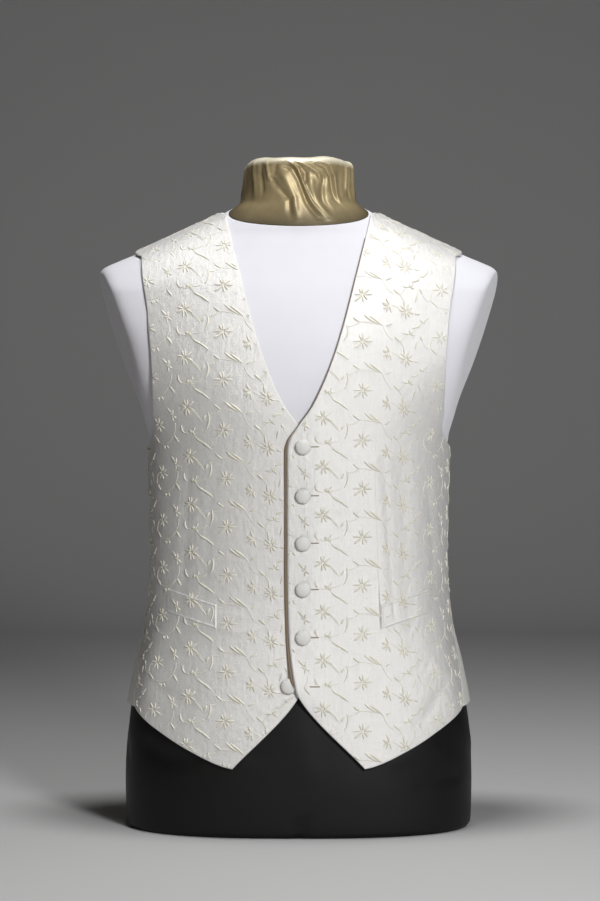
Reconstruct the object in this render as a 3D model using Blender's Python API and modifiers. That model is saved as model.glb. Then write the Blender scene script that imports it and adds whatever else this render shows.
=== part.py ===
"""An embroidered waistcoat on a limbless dress form, in metres, +Z up.

The form is one closed body surface, lofted through horizontal sections. Each cloth panel is a patch of that surface
moved outwards by its ease, so the waistcoat keeps its own cut and lies clear of the form. The front faces -Y, +X is
the wearer's left, and the origin is on the floor under the middle of the form.
"""

import math

import bmesh
import bpy
import numpy as np
from mathutils import Matrix, Vector

NAME = "embroidered_waistcoat"

# Cloth and seams
WALL = 0.0020
SEAM_GAP = 0.0003
LAP_GAP = 0.0006
WELT_THICKNESS = 0.0014
MEASURED_EASE = 0.0030

# The form's horizontal sections: half width, how far the front and back reach from the axis, where along the depth
# its widest line lies, and how square the outline is (2 is an ellipse).
SECTION_COLUMNS = ("height", "half_width", "front", "back", "side", "squareness")
SECTIONS = (
    (0.0000, 0.1925, 0.1125, 0.1235, 0.004, 2.45),
    (0.0050, 0.1955, 0.1155, 0.1265, 0.004, 2.45),
    (0.0200, 0.1965, 0.1165, 0.1280, 0.004, 2.45),
    (0.0500, 0.1970, 0.1170, 0.1285, 0.004, 2.45),
    (0.1000, 0.1950, 0.1155, 0.1275, 0.004, 2.42),
    (0.1390, 0.1900, 0.1130, 0.1240, 0.004, 2.40),
    (0.1850, 0.1805, 0.1090, 0.1150, 0.003, 2.36),
    (0.2300, 0.1700, 0.1060, 0.1045, 0.002, 2.32),
    (0.2650, 0.1672, 0.1050, 0.0975, 0.000, 2.30),
    (0.3000, 0.1663, 0.1060, 0.0945, 0.000, 2.28),
    (0.3670, 0.1670, 0.1115, 0.0990, 0.000, 2.25),
    (0.4300, 0.1690, 0.1180, 0.1085, 0.000, 2.22),
    (0.4700, 0.1850, 0.1205, 0.1145, 0.002, 2.15),
    (0.5000, 0.2080, 0.1185, 0.1170, 0.004, 2.10),
    (0.5350, 0.2380, 0.1125, 0.1180, 0.006, 2.05),
    (0.5700, 0.2580, 0.1020, 0.1150, 0.008, 2.00),
    (0.6000, 0.2620, 0.0900, 0.1085, 0.009, 2.00),
    (0.6220, 0.2410, 0.0790, 0.1000, 0.010, 2.00),
    (0.6500, 0.1810, 0.0650, 0.0850, 0.011, 2.00),
    (0.6700, 0.1375, 0.0565, 0.0750, 0.012, 2.00),
    (0.6940, 0.0860, 0.0525, 0.0690, 0.010, 2.00),
    (0.7060, 0.0675, 0.0525, 0.0660, 0.007, 2.00),
    (0.7220, 0.0625, 0.0545, 0.0630, 0.004, 2.00),
    (0.7460, 0.0606, 0.0560, 0.0610, 0.003, 2.00),
    (0.7530, 0.0585, 0.0540, 0.0590, 0.003, 2.00),
    (0.7570, 0.0520, 0.0470, 0.0520, 0.003, 2.00),
    (0.7580, 0.0440, 0.0390, 0.0440, 0.003, 2.00),
)

# The flat that ends each arm: half width on it at one height, its lean, its turn to the front and its rounded rim
ARM_FLAT_HALF_WIDTH = 0.199
ARM_FLAT_HEIGHT = 0.540
ARM_FLAT_LEAN = 0.318
ARM_FLAT_TURN = 0.176
ARM_FLAT_RIM = 0.014
ARM_FLAT_FOOT = 0.440
SIDE_BELOW_ARM = 0.178

# The form's own seams
WAIST_SEAM_HEIGHT = 0.250
NECK_SEAM_POINT = Vector((0.0, 0.010, 0.706))
NECK_SEAM_LEAN = math.radians(26)

# Ease: how far the cloth's inner face stands off the form
EASE_COLUMNS = ("height", "front", "side", "back")
EASE = (
    (0.060, 0.0055, 0.0016, 0.0040),
    (0.140, 0.0045, 0.0014, 0.0040),
    (0.220, 0.0035, 0.0012, 0.0065),
    (0.300, 0.0030, 0.0012, 0.0075),
    (0.430, 0.0020, 0.0017, 0.0035),
    (0.560, 0.0016, 0.0016, 0.0020),
    (0.640, 0.0015, 0.0015, 0.0016),
    (0.700, 0.0015, 0.0015, 0.0016),
)

# Large soft folds: degrees round from the centre front at the top and bottom ends, heights of those ends, half width
# in degrees, and how far the crest rises
FOLD_COLUMNS = ("top_angle", "bottom_angle", "top", "bottom", "half_width", "rise")
FOLDS = (
    (-62, -56, 0.270, 0.090, 9, 0.0030),
    (64, 58, 0.265, 0.095, 8, 0.0024),
    (-84, -92, 0.300, 0.130, 8, 0.0022),
    (84, 93, 0.310, 0.130, 7, 0.0026),
    (126, 134, 0.420, 0.140, 9, 0.0032),
    (-124, -131, 0.400, 0.140, 8, 0.0028),
    (157, 153, 0.380, 0.140, 7, 0.0030),
    (-152, -158, 0.430, 0.140, 8, 0.0034),
)

# The cut of a front, as seen from the front: the opening edge from the hem's point up to the neck point. A negative
# half width lies past the centre front.
OPENING_COLUMNS = ("height", "half_width")
OPENING = (
    (0.0760, 0.0725),
    (0.1566, -0.0016),
    (0.1630, -0.0040),
    (0.2170, -0.0112),
    (0.2900, -0.0130),
    (0.4220, -0.0130),
    (0.4340, -0.0112),
    (0.4510, 0.0000),
    (0.4740, 0.0165),
    (0.5320, 0.0409),
    (0.6255, 0.0667),
    (0.6880, 0.0828),
)
HEM_COLUMNS = ("half_width", "height")
HEM = (
    (0.0725, 0.0760),
    (0.0830, 0.0784),
    (0.1245, 0.0965),
    (0.1570, 0.1155),
    (0.1780, 0.1310),
)
ARMHOLE_COLUMNS = ("height", "front", "back")
ARMHOLE = (
    (0.4630, 0.1626, 0.1640),
    (0.4910, 0.1627, 0.1640),
    (0.5210, 0.1636, 0.1650),
    (0.5540, 0.1666, 0.1685),
    (0.5850, 0.1700, 0.1720),
    (0.6170, 0.1760, 0.1770),
    (0.6400, 0.1790, 0.1790),
)
SIDE_SEAM_COLUMNS = ("height", "angle")
SIDE_SEAM = (
    (0.1365, 70),
    (0.1800, 77),
    (0.2200, 84),
    (0.3000, 90),
    (0.4275, 92),
)
BACK_HEM_COLUMNS = ("angle", "height")
BACK_HEM = (
    (70, 0.1365),
    (110, 0.1390),
    (180, 0.1420),
)
SHOULDER_SEAM_ANGLE = 97
NECK_POINT_HEIGHT = 0.6935
SHOULDER_POINT_HEIGHT = 0.6535
BACK_NECK_HEIGHT = 0.6970

# How the left front laps over the right one, and how its edge lifts over the undone button
LAP_FLUSH = 0.042
LAP_FULL = 0.017
LAP_ENDS = (0.125, 0.160)
LIFT_PLACE = (-0.004, 0.166)
LIFT_SPREAD = (0.013, 0.021)
LIFT_RISE = 0.0054

# Welts: inner and outer ends as seen from the front, the height of their lower edge there, and how tall they are
WELT_ENDS = (0.0900, 0.1535)
WELT_LOWER = (0.2272, 0.2460)
WELT_HEIGHT = 0.0270

# Buttons
BUTTON_RADIUS = 0.0085
BUTTON_RIM = 0.0022
BUTTON_DOME = 0.0033
BUTTON_HEIGHTS = (0.428, 0.375, 0.323, 0.272, 0.219)
BUTTON_HALF_WIDTH = 0.005
UNDONE_BUTTON = (-0.0110, 0.166)
BUTTON_STEPS = 18

# How finely the solids are divided
FRONT_GRID = (16, 40)
BACK_GRID = (12, 28)
BACK_NECK_SHARE = 4
WELT_GRID = (9, 3)
FORM_SIDES = 48
SHOULDER_ROWS = (0.72, 0.84)
EDGE_SAMPLES = 240
TURN_SAMPLES = 20
NORMAL_STEP = (0.02, 0.004)
HIP_HEIGHTS = (0.0, 0.002, 0.005, 0.02, 0.05, 0.09, 0.13, 0.17, 0.21, WAIST_SEAM_HEIGHT - SEAM_GAP)
BODY_STRETCHES = ((WAIST_SEAM_HEIGHT, 0.430, 8), (0.445, 0.590, 10), (0.600, 0.700, 12))
NECK_BASE_HEIGHTS = (0.706, 0.714, 0.722, 0.735)
NECK_HEIGHTS = (0.660, 0.675, 0.690, 0.700, *NECK_BASE_HEIGHTS, 0.746, 0.753, 0.757, 0.758)


def columns(names, rows):
    """A table's rows as one array for each named column."""
    return dict(zip(names, np.transpose(rows)))


BODY = columns(SECTION_COLUMNS, SECTIONS)
STAND_OFF = columns(EASE_COLUMNS, EASE)


def smooth_curve(knots, values, at):
    """Cubic through the knots without overshoot.

    Each inner slope is the harmonic mean of the two chords beside it, or zero where they turn.
    """
    knots = np.asarray(knots, float)
    values = np.asarray(values, float)
    step = np.diff(knots)
    chord = np.diff(values) / step
    same_way = chord[:-1] * chord[1:] > 0
    total = np.where(same_way, chord[:-1] + chord[1:], 1.0)
    inner = np.where(same_way, 2 * chord[:-1] * chord[1:] / total, 0.0)
    slope = np.concatenate([chord[:1], inner, chord[-1:]])
    index = np.clip(np.searchsorted(knots, at) - 1, 0, len(step) - 1)
    run = step[index]
    t = np.clip((at - knots[index]) / run, 0.0, 1.0)
    return (
        values[index] * (2 * t**3 - 3 * t**2 + 1)
        + values[index + 1] * (3 * t**2 - 2 * t**3)
        + slope[index] * run * (t**3 - 2 * t**2 + t)
        + slope[index + 1] * run * (t**3 - t**2)
    )


def soft_step(value):
    """0 below 0, 1 above 1, with a smooth run between."""
    t = np.clip(value, 0.0, 1.0)
    return t * t * (3 - 2 * t)


def soft_min(first, second, round_by):
    """The lesser of the two, rounded where they meet."""
    near = np.maximum(round_by - np.abs(first - second), 0.0) / round_by
    return np.minimum(first, second) - near**2 * round_by / 4


def signed_power(value, power):
    return np.sign(value) * np.abs(value) ** power


def section_at(height):
    return {
        name: smooth_curve(BODY["height"], BODY[name], height)
        for name in SECTION_COLUMNS[1:]
    }


def body_point(angle, height):
    """Points of the body surface. The angle runs round each section from the centre front to the wearer's left."""
    section = section_at(height)
    power = 2 / section["squareness"]
    across = signed_power(np.sin(angle), power)
    along = signed_power(np.cos(angle), power)
    reach = np.where(
        along > 0, section["front"] + section["side"], section["back"] - section["side"]
    )
    x = section["half_width"] * across
    y = section["side"] - reach * along
    return np.stack([x, y, np.broadcast_to(height, x.shape)], axis=-1)


def body_normal(angle, height):
    """Outward normals of the body surface, across a short step each way."""
    turn, rise = NORMAL_STEP
    around = body_point(angle + turn, height) - body_point(angle - turn, height)
    upward = body_point(angle, height + rise) - body_point(angle, height - rise)
    normal = np.cross(around, upward)
    return normal / np.linalg.norm(normal, axis=-1, keepdims=True)


def angle_of(points):
    """The angle round the section at which each point lies."""
    section = section_at(points[..., 2])
    power = section["squareness"] / 2
    along = section["side"] - points[..., 1]
    reach = np.where(
        along > 0, section["front"] + section["side"], section["back"] - section["side"]
    )
    across = signed_power(points[..., 0] / section["half_width"], power)
    return np.arctan2(across, signed_power(along / reach, power))


def angle_seen(half_width, height):
    """The angle of cloth seen at this half width from the front."""
    section = section_at(height)
    share = np.clip(half_width / (section["half_width"] + MEASURED_EASE), -1.0, 1.0)
    return np.arcsin(signed_power(share, section["squareness"] / 2))


def ease_at(angle, height):
    """How far the cloth stands off the form, folds included."""
    part = {
        name: smooth_curve(STAND_OFF["height"], STAND_OFF[name], height)
        for name in EASE_COLUMNS[1:]
    }
    facing = np.cos(angle)
    ease = part["side"] + (part["front"] - part["side"]) * np.maximum(facing, 0) ** 2
    ease = ease + (part["back"] - part["side"]) * np.maximum(-facing, 0) ** 2
    for row in FOLDS:
        fold = dict(zip(FOLD_COLUMNS, row))
        down = (fold["top"] - height) / (fold["top"] - fold["bottom"])
        centre = fold["top_angle"] + (fold["bottom_angle"] - fold["top_angle"]) * down
        off = (np.degrees(angle) - centre + 180) % 360 - 180
        crest = np.exp(-((off / fold["half_width"]) ** 2))
        ease = ease + fold["rise"] * crest * soft_step(down * 1.6)
    return ease


def lap_lift(angle, height):
    """How far the left front lies above its own place, over the right front and over the undone button."""
    x = body_point(angle, height)[..., 0]
    low, high = LAP_ENDS
    over = soft_step((LAP_FLUSH - x) / (LAP_FLUSH - LAP_FULL))
    over = over * soft_step((height - low) / (high - low))
    beside = (x - LIFT_PLACE[0]) / LIFT_SPREAD[0]
    above = (height - LIFT_PLACE[1]) / LIFT_SPREAD[1]
    lift = LIFT_RISE * np.exp(-(beside**2) - above**2)
    return (WALL + LAP_GAP) * over + lift


def no_lift(angle, height):
    return np.zeros(np.broadcast(angle, height).shape)


def cloth_point(angle, height, stand_off):
    """Points this far outside the cloth's inner face."""
    out = ease_at(angle, height) + stand_off
    return body_point(angle, height) + body_normal(angle, height) * out[..., None]


def spread(points, count, share=None):
    """A curve's points spaced out again evenly by length, or by the given shares of its length."""
    length = np.concatenate([[0], np.cumsum(np.linalg.norm(np.diff(points, axis=0), axis=1))])
    share = np.linspace(0, 1, count + 1) if share is None else share
    return np.stack([np.interp(share * length[-1], length, column) for column in points.T], axis=1)


def edge(angles, heights):
    """An edge curve on the body, from angles in radians and heights."""
    return body_point(np.asarray(angles, float), np.asarray(heights, float))


def moved_round(points, distance):
    """An edge moved round the body by a small distance, to part two seamed pieces."""
    angle = angle_of(points)
    ahead = body_point(angle + 0.001, points[:, 2]) - points
    ahead = ahead / np.linalg.norm(ahead, axis=1, keepdims=True)
    return points + ahead * distance


def patch(bottom, top, inner, outer):
    """A patch of the body between four edges.

    Each point blends the two edges across and the two edges along, less the blend of the corners. It then takes the
    angle of its own section, which puts it back on the body. Returns the angles and the heights.
    """
    u = np.linspace(0, 1, len(bottom))[None, :, None]
    v = np.linspace(0, 1, len(inner))[:, None, None]
    between = (1 - v) * bottom[None] + v * top[None] + (1 - u) * inner[:, None] + u * outer[:, None]
    corners = (1 - u) * (1 - v) * bottom[0] + u * (1 - v) * bottom[-1]
    corners = corners + (1 - u) * v * top[0] + u * v * top[-1]
    points = between - corners
    return angle_of(points), points[..., 2]


def row_shares(count):
    """Shares of a long edge, closer together where the cloth bends over the shoulder."""
    bend_row, bend_share = SHOULDER_ROWS
    return np.interp(np.linspace(0, 1, count + 1), [0, bend_row, 1], [0, bend_share, 1])


def opening_edge():
    """The front's opening edge, from the hem's point, up the neckline and over the shoulder."""
    table = columns(OPENING_COLUMNS, OPENING)
    height = np.linspace(table["height"][0], table["height"][-1], EDGE_SAMPLES)
    angle = angle_seen(smooth_curve(table["height"], table["half_width"], height), height)
    over = np.linspace(0, 1, TURN_SAMPLES)[1:]
    seam = math.radians(SHOULDER_SEAM_ANGLE)
    angle = np.concatenate([angle, angle[-1] + (seam - angle[-1]) * over])
    height = np.concatenate([height, height[-1] + (NECK_POINT_HEIGHT - height[-1]) * over])
    return edge(angle, height)


def armhole_edge(side):
    """Half of the armhole, from the underarm up to the shoulder seam, on the front or the back."""
    table = columns(ARMHOLE_COLUMNS, ARMHOLE)
    height = np.linspace(table["height"][0], table["height"][-1], EDGE_SAMPLES)
    angle = angle_seen(smooth_curve(table["height"], table[side], height), height)
    if side == "back":
        angle = math.pi - angle
    under_height, under_angle = SIDE_SEAM[-1]
    under_angle = math.radians(under_angle)
    turn = np.linspace(math.pi / 2, 0, TURN_SAMPLES)[:-1]
    low_angle = angle[0] + (under_angle - angle[0]) * (1 - np.cos(turn))
    low_height = height[0] + (under_height - height[0]) * np.sin(turn)
    over = np.linspace(0, 1, TURN_SAMPLES)[1:]
    seam = math.radians(SHOULDER_SEAM_ANGLE)
    top_angle = angle[-1] + (seam - angle[-1]) * over
    top_height = height[-1] + (SHOULDER_POINT_HEIGHT - height[-1]) * over
    return edge(
        np.concatenate([low_angle, angle, top_angle]),
        np.concatenate([low_height, height, top_height]),
    )


def side_seam_edge():
    table = columns(SIDE_SEAM_COLUMNS, SIDE_SEAM)
    height = np.linspace(table["height"][0], table["height"][-1], EDGE_SAMPLES)
    return edge(np.radians(smooth_curve(table["height"], table["angle"], height)), height)


def front_hem_edge():
    table = columns(HEM_COLUMNS, HEM)
    half_width = np.linspace(table["half_width"][0], table["half_width"][-1], EDGE_SAMPLES)
    height = smooth_curve(table["half_width"], table["height"], half_width)
    angle = angle_seen(half_width, height)
    end_height, end_angle = SIDE_SEAM[0]
    angle = np.append(angle, math.radians(end_angle))
    return edge(angle, np.append(height, end_height))


def back_hem_edge():
    """From the centre back to the side seam."""
    table = columns(BACK_HEM_COLUMNS, BACK_HEM)
    angle = np.linspace(180, table["angle"][0], EDGE_SAMPLES)
    return edge(np.radians(angle), smooth_curve(table["angle"], table["height"], angle))


def back_neck_edge():
    """From the centre back to the neck point."""
    share = np.linspace(0, 1, EDGE_SAMPLES)
    angle = math.pi + (math.radians(SHOULDER_SEAM_ANGLE) - math.pi) * share
    return edge(angle, BACK_NECK_HEIGHT + (NECK_POINT_HEIGHT - BACK_NECK_HEIGHT) * share)


def shoulder_edge():
    """From the neck point to the end of the shoulder."""
    height = np.linspace(NECK_POINT_HEIGHT, SHOULDER_POINT_HEIGHT, EDGE_SAMPLES)
    return edge(np.full(EDGE_SAMPLES, math.radians(SHOULDER_SEAM_ANGLE)), height)


def front_patch():
    """The wearer's left front, up to its seams."""
    across, up = FRONT_GRID
    shares = row_shares(up)
    side = moved_round(side_seam_edge(), -SEAM_GAP / 2)
    arm = armhole_edge("front")
    arm[-1] = moved_round(shoulder_edge(), -SEAM_GAP / 2)[-1]
    inner = opening_edge()
    inner[-1] = moved_round(shoulder_edge(), -SEAM_GAP / 2)[0]
    hem = front_hem_edge()
    hem[-1] = side[0]
    return patch(
        spread(hem, across),
        spread(moved_round(shoulder_edge(), -SEAM_GAP / 2), across),
        spread(inner, up, shares),
        spread(np.concatenate([side, arm[1:]]), up, shares),
    )


def back_patch():
    """The wearer's left back, from the centre-back seam."""
    across, up = BACK_GRID
    shares = row_shares(up)
    side = moved_round(side_seam_edge(), SEAM_GAP / 2)
    shoulder = moved_round(shoulder_edge(), SEAM_GAP / 2)
    arm = armhole_edge("back")
    arm[-1] = shoulder[-1]
    neck = moved_round(back_neck_edge(), -SEAM_GAP / 2)
    neck[-1] = shoulder[0]
    hem = moved_round(back_hem_edge(), -SEAM_GAP / 2)
    hem[-1] = side[0]
    centre_height = np.linspace(hem[0][2], neck[0][2], EDGE_SAMPLES)
    centre = moved_round(edge(np.full(EDGE_SAMPLES, math.pi), centre_height), -SEAM_GAP / 2)
    top = np.concatenate(
        [spread(neck, BACK_NECK_SHARE), spread(shoulder, across - BACK_NECK_SHARE)[1:]]
    )
    return patch(
        spread(hem, across),
        top,
        spread(centre, up, shares),
        spread(np.concatenate([side, arm[1:]]), up, shares),
    )


def welt_patch():
    """The left pocket welt, between its slanting edges."""
    across, up = WELT_GRID
    u = np.linspace(0, 1, across + 1)[None, :]
    v = np.linspace(0, 1, up + 1)[:, None]
    height = WELT_LOWER[0] + (WELT_LOWER[1] - WELT_LOWER[0]) * u + WELT_HEIGHT * v
    half_width = np.broadcast_to(WELT_ENDS[0] + (WELT_ENDS[1] - WELT_ENDS[0]) * u, height.shape)
    return angle_seen(half_width, height), height


def material(name, colour, roughness, metallic=0.0):
    made = bpy.data.materials.new(name)
    made.use_nodes = True
    shader = made.node_tree.nodes["Principled BSDF"]
    shader.inputs["Base Color"].default_value = (*colour, 1)
    shader.inputs["Roughness"].default_value = roughness
    shader.inputs["Metallic"].default_value = metallic
    return made


def clear_scene():
    for old in list(bpy.data.objects):
        bpy.data.objects.remove(old)


def place(mesh, name, home, origin, look):
    """An object of this mesh in the part's collection, under its origin, shaded smooth."""
    made = bpy.data.objects.new(name, mesh)
    home.objects.link(made)
    made.parent = origin
    if not mesh.materials:
        mesh.materials.append(look)
    mesh.shade_smooth()
    return made


def split_quads(made):
    """Splits each face along its shorter diagonal, so that skewed faces bend outwards alike on both sides."""
    split = made.modifiers.new("split", "TRIANGULATE")
    split.quad_method = "SHORTEST_DIAGONAL"


def sheet_mesh(name, points):
    """An open grid mesh through a block of points, rows up and columns across, facing out."""
    rows, across = points.shape[:2]
    bpy.ops.mesh.primitive_grid_add(x_subdivisions=across - 1, y_subdivisions=rows - 1)
    grid = bpy.context.object
    mesh = grid.data
    mesh.name = name
    mesh.vertices.foreach_set("co", points.astype(np.float32).ravel())
    bpy.data.objects.remove(grid)
    return mesh


def add_sheet(name, patch_points, thickness, home, origin, look):
    """A cloth piece: its inner face as an open grid, given a wall by Solidify."""
    mesh = sheet_mesh(name, patch_points)
    made = place(mesh, name, home, origin, look)
    split_quads(made)
    wall = made.modifiers.new("wall", "SOLIDIFY")
    wall.thickness = thickness
    wall.offset = 1
    wall.use_even_offset = True
    return made


def add_panels(home, origin, looks):
    """The two fronts, the two backs and the two welts."""
    front = front_patch()
    back = back_patch()
    welt = welt_patch()
    right_ease = (-front[0], front[1])
    pieces = (
        ("front_left", cloth_point(*front, lap_lift(*front)), "embroidered"),
        ("front_right", cloth_point(*right_ease, no_lift(*front))[:, ::-1], "embroidered"),
        ("back_left", cloth_point(*back, no_lift(*back))[:, ::-1], "satin"),
        ("back_right", cloth_point(-back[0], back[1], no_lift(*back)), "satin"),
    )
    for name, points, look in pieces:
        add_sheet(name, points, WALL, home, origin, looks[look])
    raised = WALL + SEAM_GAP + no_lift(*welt)
    left = cloth_point(*welt, raised)
    right = cloth_point(-welt[0], welt[1], raised)[:, ::-1]
    add_sheet("welt_left", left, WELT_THICKNESS, home, origin, looks["embroidered"])
    add_sheet("welt_right", right, WELT_THICKNESS, home, origin, looks["embroidered"])


def button_profile():
    """A covered button's outline at +X, from the top of its dome down to its flat back."""
    turn = np.linspace(0, math.pi / 2, 5)
    dome_x = BUTTON_RADIUS * np.sin(turn)
    dome_z = BUTTON_RIM + BUTTON_DOME * np.cos(turn)
    back_x = [BUTTON_RADIUS, BUTTON_RADIUS - 0.0008, 0.0]
    back_z = [0.0008, 0.0, 0.0]
    return np.concatenate([dome_x, back_x]), np.concatenate([dome_z, back_z])


def button_mesh():
    """The profile as a bare line, for the Screw to turn."""
    mesh = bpy.data.meshes.new("button")
    bm = bmesh.new()
    points = [bm.verts.new((x, 0, z)) for x, z in zip(*button_profile())]
    for first, second in zip(points, points[1:]):
        bm.edges.new((first, second))
    bm.to_mesh(mesh)
    bm.free()
    return mesh


def add_buttons(home, origin, look):
    """Five fastened buttons on the left front, and the undone one on the right front."""
    mesh = button_mesh()
    places = [(BUTTON_HALF_WIDTH, height, True) for height in BUTTON_HEIGHTS]
    places.append((*UNDONE_BUTTON, False))
    for number, (x, height, fastened) in enumerate(places, 1):
        angle = angle_seen(np.array(x), np.array(height))
        lift = lap_lift(angle, height) if fastened else 0.0
        seat = cloth_point(angle, np.array(height), np.array(WALL + SEAM_GAP + lift))
        button = place(mesh, f"button_{number}", home, origin, look)
        facing = Vector(body_normal(angle, np.array(height)))
        button.location = seat
        button.rotation_euler = facing.to_track_quat("Z", "Y").to_euler()
        turned = button.modifiers.new("turned", "SCREW")
        turned.steps = turned.render_steps = BUTTON_STEPS
        turned.use_merge_vertices = True
        turned.merge_threshold = 0.00001


def form_ring(height):
    """One section of the form, its arms ended by the leaning flats."""
    angle = np.linspace(0, 2 * math.pi, FORM_SIDES, endpoint=False)
    ring = body_point(angle, np.full(FORM_SIDES, height))
    if height < ARM_FLAT_FOOT:
        return ring
    flat = ARM_FLAT_HALF_WIDTH + ARM_FLAT_LEAN * (height - ARM_FLAT_HEIGHT)
    flat = flat + ARM_FLAT_TURN * ring[:, 1]
    flat = -soft_min(-flat, np.full(FORM_SIDES, -SIDE_BELOW_ARM), ARM_FLAT_RIM)
    ring[:, 0] = np.sign(ring[:, 0]) * soft_min(np.abs(ring[:, 0]), flat, ARM_FLAT_RIM)
    return ring


def loft(heights):
    """A closed mesh through the form's sections at these heights."""
    bm = bmesh.new()
    rings = [[bm.verts.new(point) for point in form_ring(height)] for height in heights]
    for low, high in zip(rings, rings[1:]):
        for i in range(FORM_SIDES):
            j = (i + 1) % FORM_SIDES
            bm.faces.new((low[i], low[j], high[j], high[i]))
    bm.faces.new(rings[0][::-1])
    bm.faces.new(rings[-1])
    bm.normal_update()
    return bm


def cut_at_neck(bm, keep_above):
    """Cuts the form at its neck seam and closes the cut."""
    normal = Vector((0, -math.sin(NECK_SEAM_LEAN), math.cos(NECK_SEAM_LEAN)))
    middle = NECK_SEAM_POINT + normal * (SEAM_GAP / 2 if keep_above else -SEAM_GAP / 2)
    cut = bmesh.ops.bisect_plane(
        bm,
        geom=bm.verts[:] + bm.edges[:] + bm.faces[:],
        plane_co=middle,
        plane_no=normal,
        clear_outer=not keep_above,
        clear_inner=keep_above,
    )
    rim = [item for item in cut["geom_cut"] if isinstance(item, bmesh.types.BMEdge)]
    bmesh.ops.contextual_create(bm, geom=rim)
    bmesh.ops.recalc_face_normals(bm, faces=bm.faces[:])


def add_section(bm, name, home, origin, look):
    """A lofted piece of the form as an object."""
    mesh = bpy.data.meshes.new(name)
    bm.to_mesh(mesh)
    bm.free()
    split_quads(place(mesh, name, home, origin, look))


def add_form(home, origin, looks):
    """Hips, body and neck, each closed at its seams."""
    add_section(loft(HIP_HEIGHTS), "hip_cover", home, origin, looks["black_satin"])
    stretches = [np.linspace(*stretch) for stretch in BODY_STRETCHES]
    body = loft(np.concatenate([*stretches, NECK_BASE_HEIGHTS]))
    cut_at_neck(body, keep_above=False)
    add_section(body, "form_body", home, origin, looks["jersey"])
    neck = loft(NECK_HEIGHTS)
    cut_at_neck(neck, keep_above=True)
    add_section(neck, "neck_cap", home, origin, looks["gold_silk"])


def main():
    clear_scene()
    home = bpy.data.collections.new(NAME)
    bpy.context.scene.collection.children.link(home)
    origin = bpy.data.objects.new("floor_centre", None)
    origin.matrix_world = Matrix.Identity(4)
    home.objects.link(origin)
    looks = {
        "embroidered": material("embroidered_ivory_silk", (0.80, 0.78, 0.72), 0.42),
        "satin": material("ivory_satin", (0.82, 0.81, 0.77), 0.30),
        "jersey": material("white_jersey", (0.83, 0.83, 0.85), 0.85),
        "gold_silk": material("old_gold_silk", (0.28, 0.21, 0.09), 0.38),
        "black_satin": material("black_satin", (0.010, 0.010, 0.011), 0.35),
    }
    add_panels(home, origin, looks)
    add_buttons(home, origin, looks["embroidered"])
    add_form(home, origin, looks)


main()
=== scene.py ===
"""The looks of an embroidered waistcoat on its dress form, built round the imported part, in metres, +Z up.

It is laid out as a Blender add-on: settings, one operator for each group of pieces, a panel and a main
function. The front faces -Y and +X is the wearer's left. Every cloth piece is a patch of the form's surface
moved out by its ease.
"""

import math

import bpy
import numpy as np
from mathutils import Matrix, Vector


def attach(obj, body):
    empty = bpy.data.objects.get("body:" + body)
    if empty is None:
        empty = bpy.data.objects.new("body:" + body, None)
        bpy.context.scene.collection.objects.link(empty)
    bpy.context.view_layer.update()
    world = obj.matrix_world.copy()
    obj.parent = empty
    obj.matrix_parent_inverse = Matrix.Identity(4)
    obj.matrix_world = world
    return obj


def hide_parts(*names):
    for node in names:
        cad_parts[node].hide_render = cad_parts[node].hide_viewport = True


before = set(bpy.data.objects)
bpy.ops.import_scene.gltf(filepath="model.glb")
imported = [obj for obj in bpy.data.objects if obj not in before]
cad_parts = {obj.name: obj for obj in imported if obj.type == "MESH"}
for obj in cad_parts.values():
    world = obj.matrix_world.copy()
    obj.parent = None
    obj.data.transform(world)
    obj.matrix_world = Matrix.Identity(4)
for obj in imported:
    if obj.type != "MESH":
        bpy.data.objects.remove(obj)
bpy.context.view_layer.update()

BODY_NAME = "root"

bl_info = {
    "name": "Embroidered waistcoat",
    "version": (1, 0, 0),
    "blender": (4, 5, 0),
    "location": "3D View > Sidebar > Waistcoat",
    "description": "Builds an embroidered waistcoat on a dress form, piece by piece",
    "category": "Object",
}

# Cloth and seams
WALL = 0.0020
SEAM_GAP = 0.0003
LAP_GAP = 0.0006
WELT_THICKNESS = 0.0014
MEASURED_EASE = 0.0030

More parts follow.
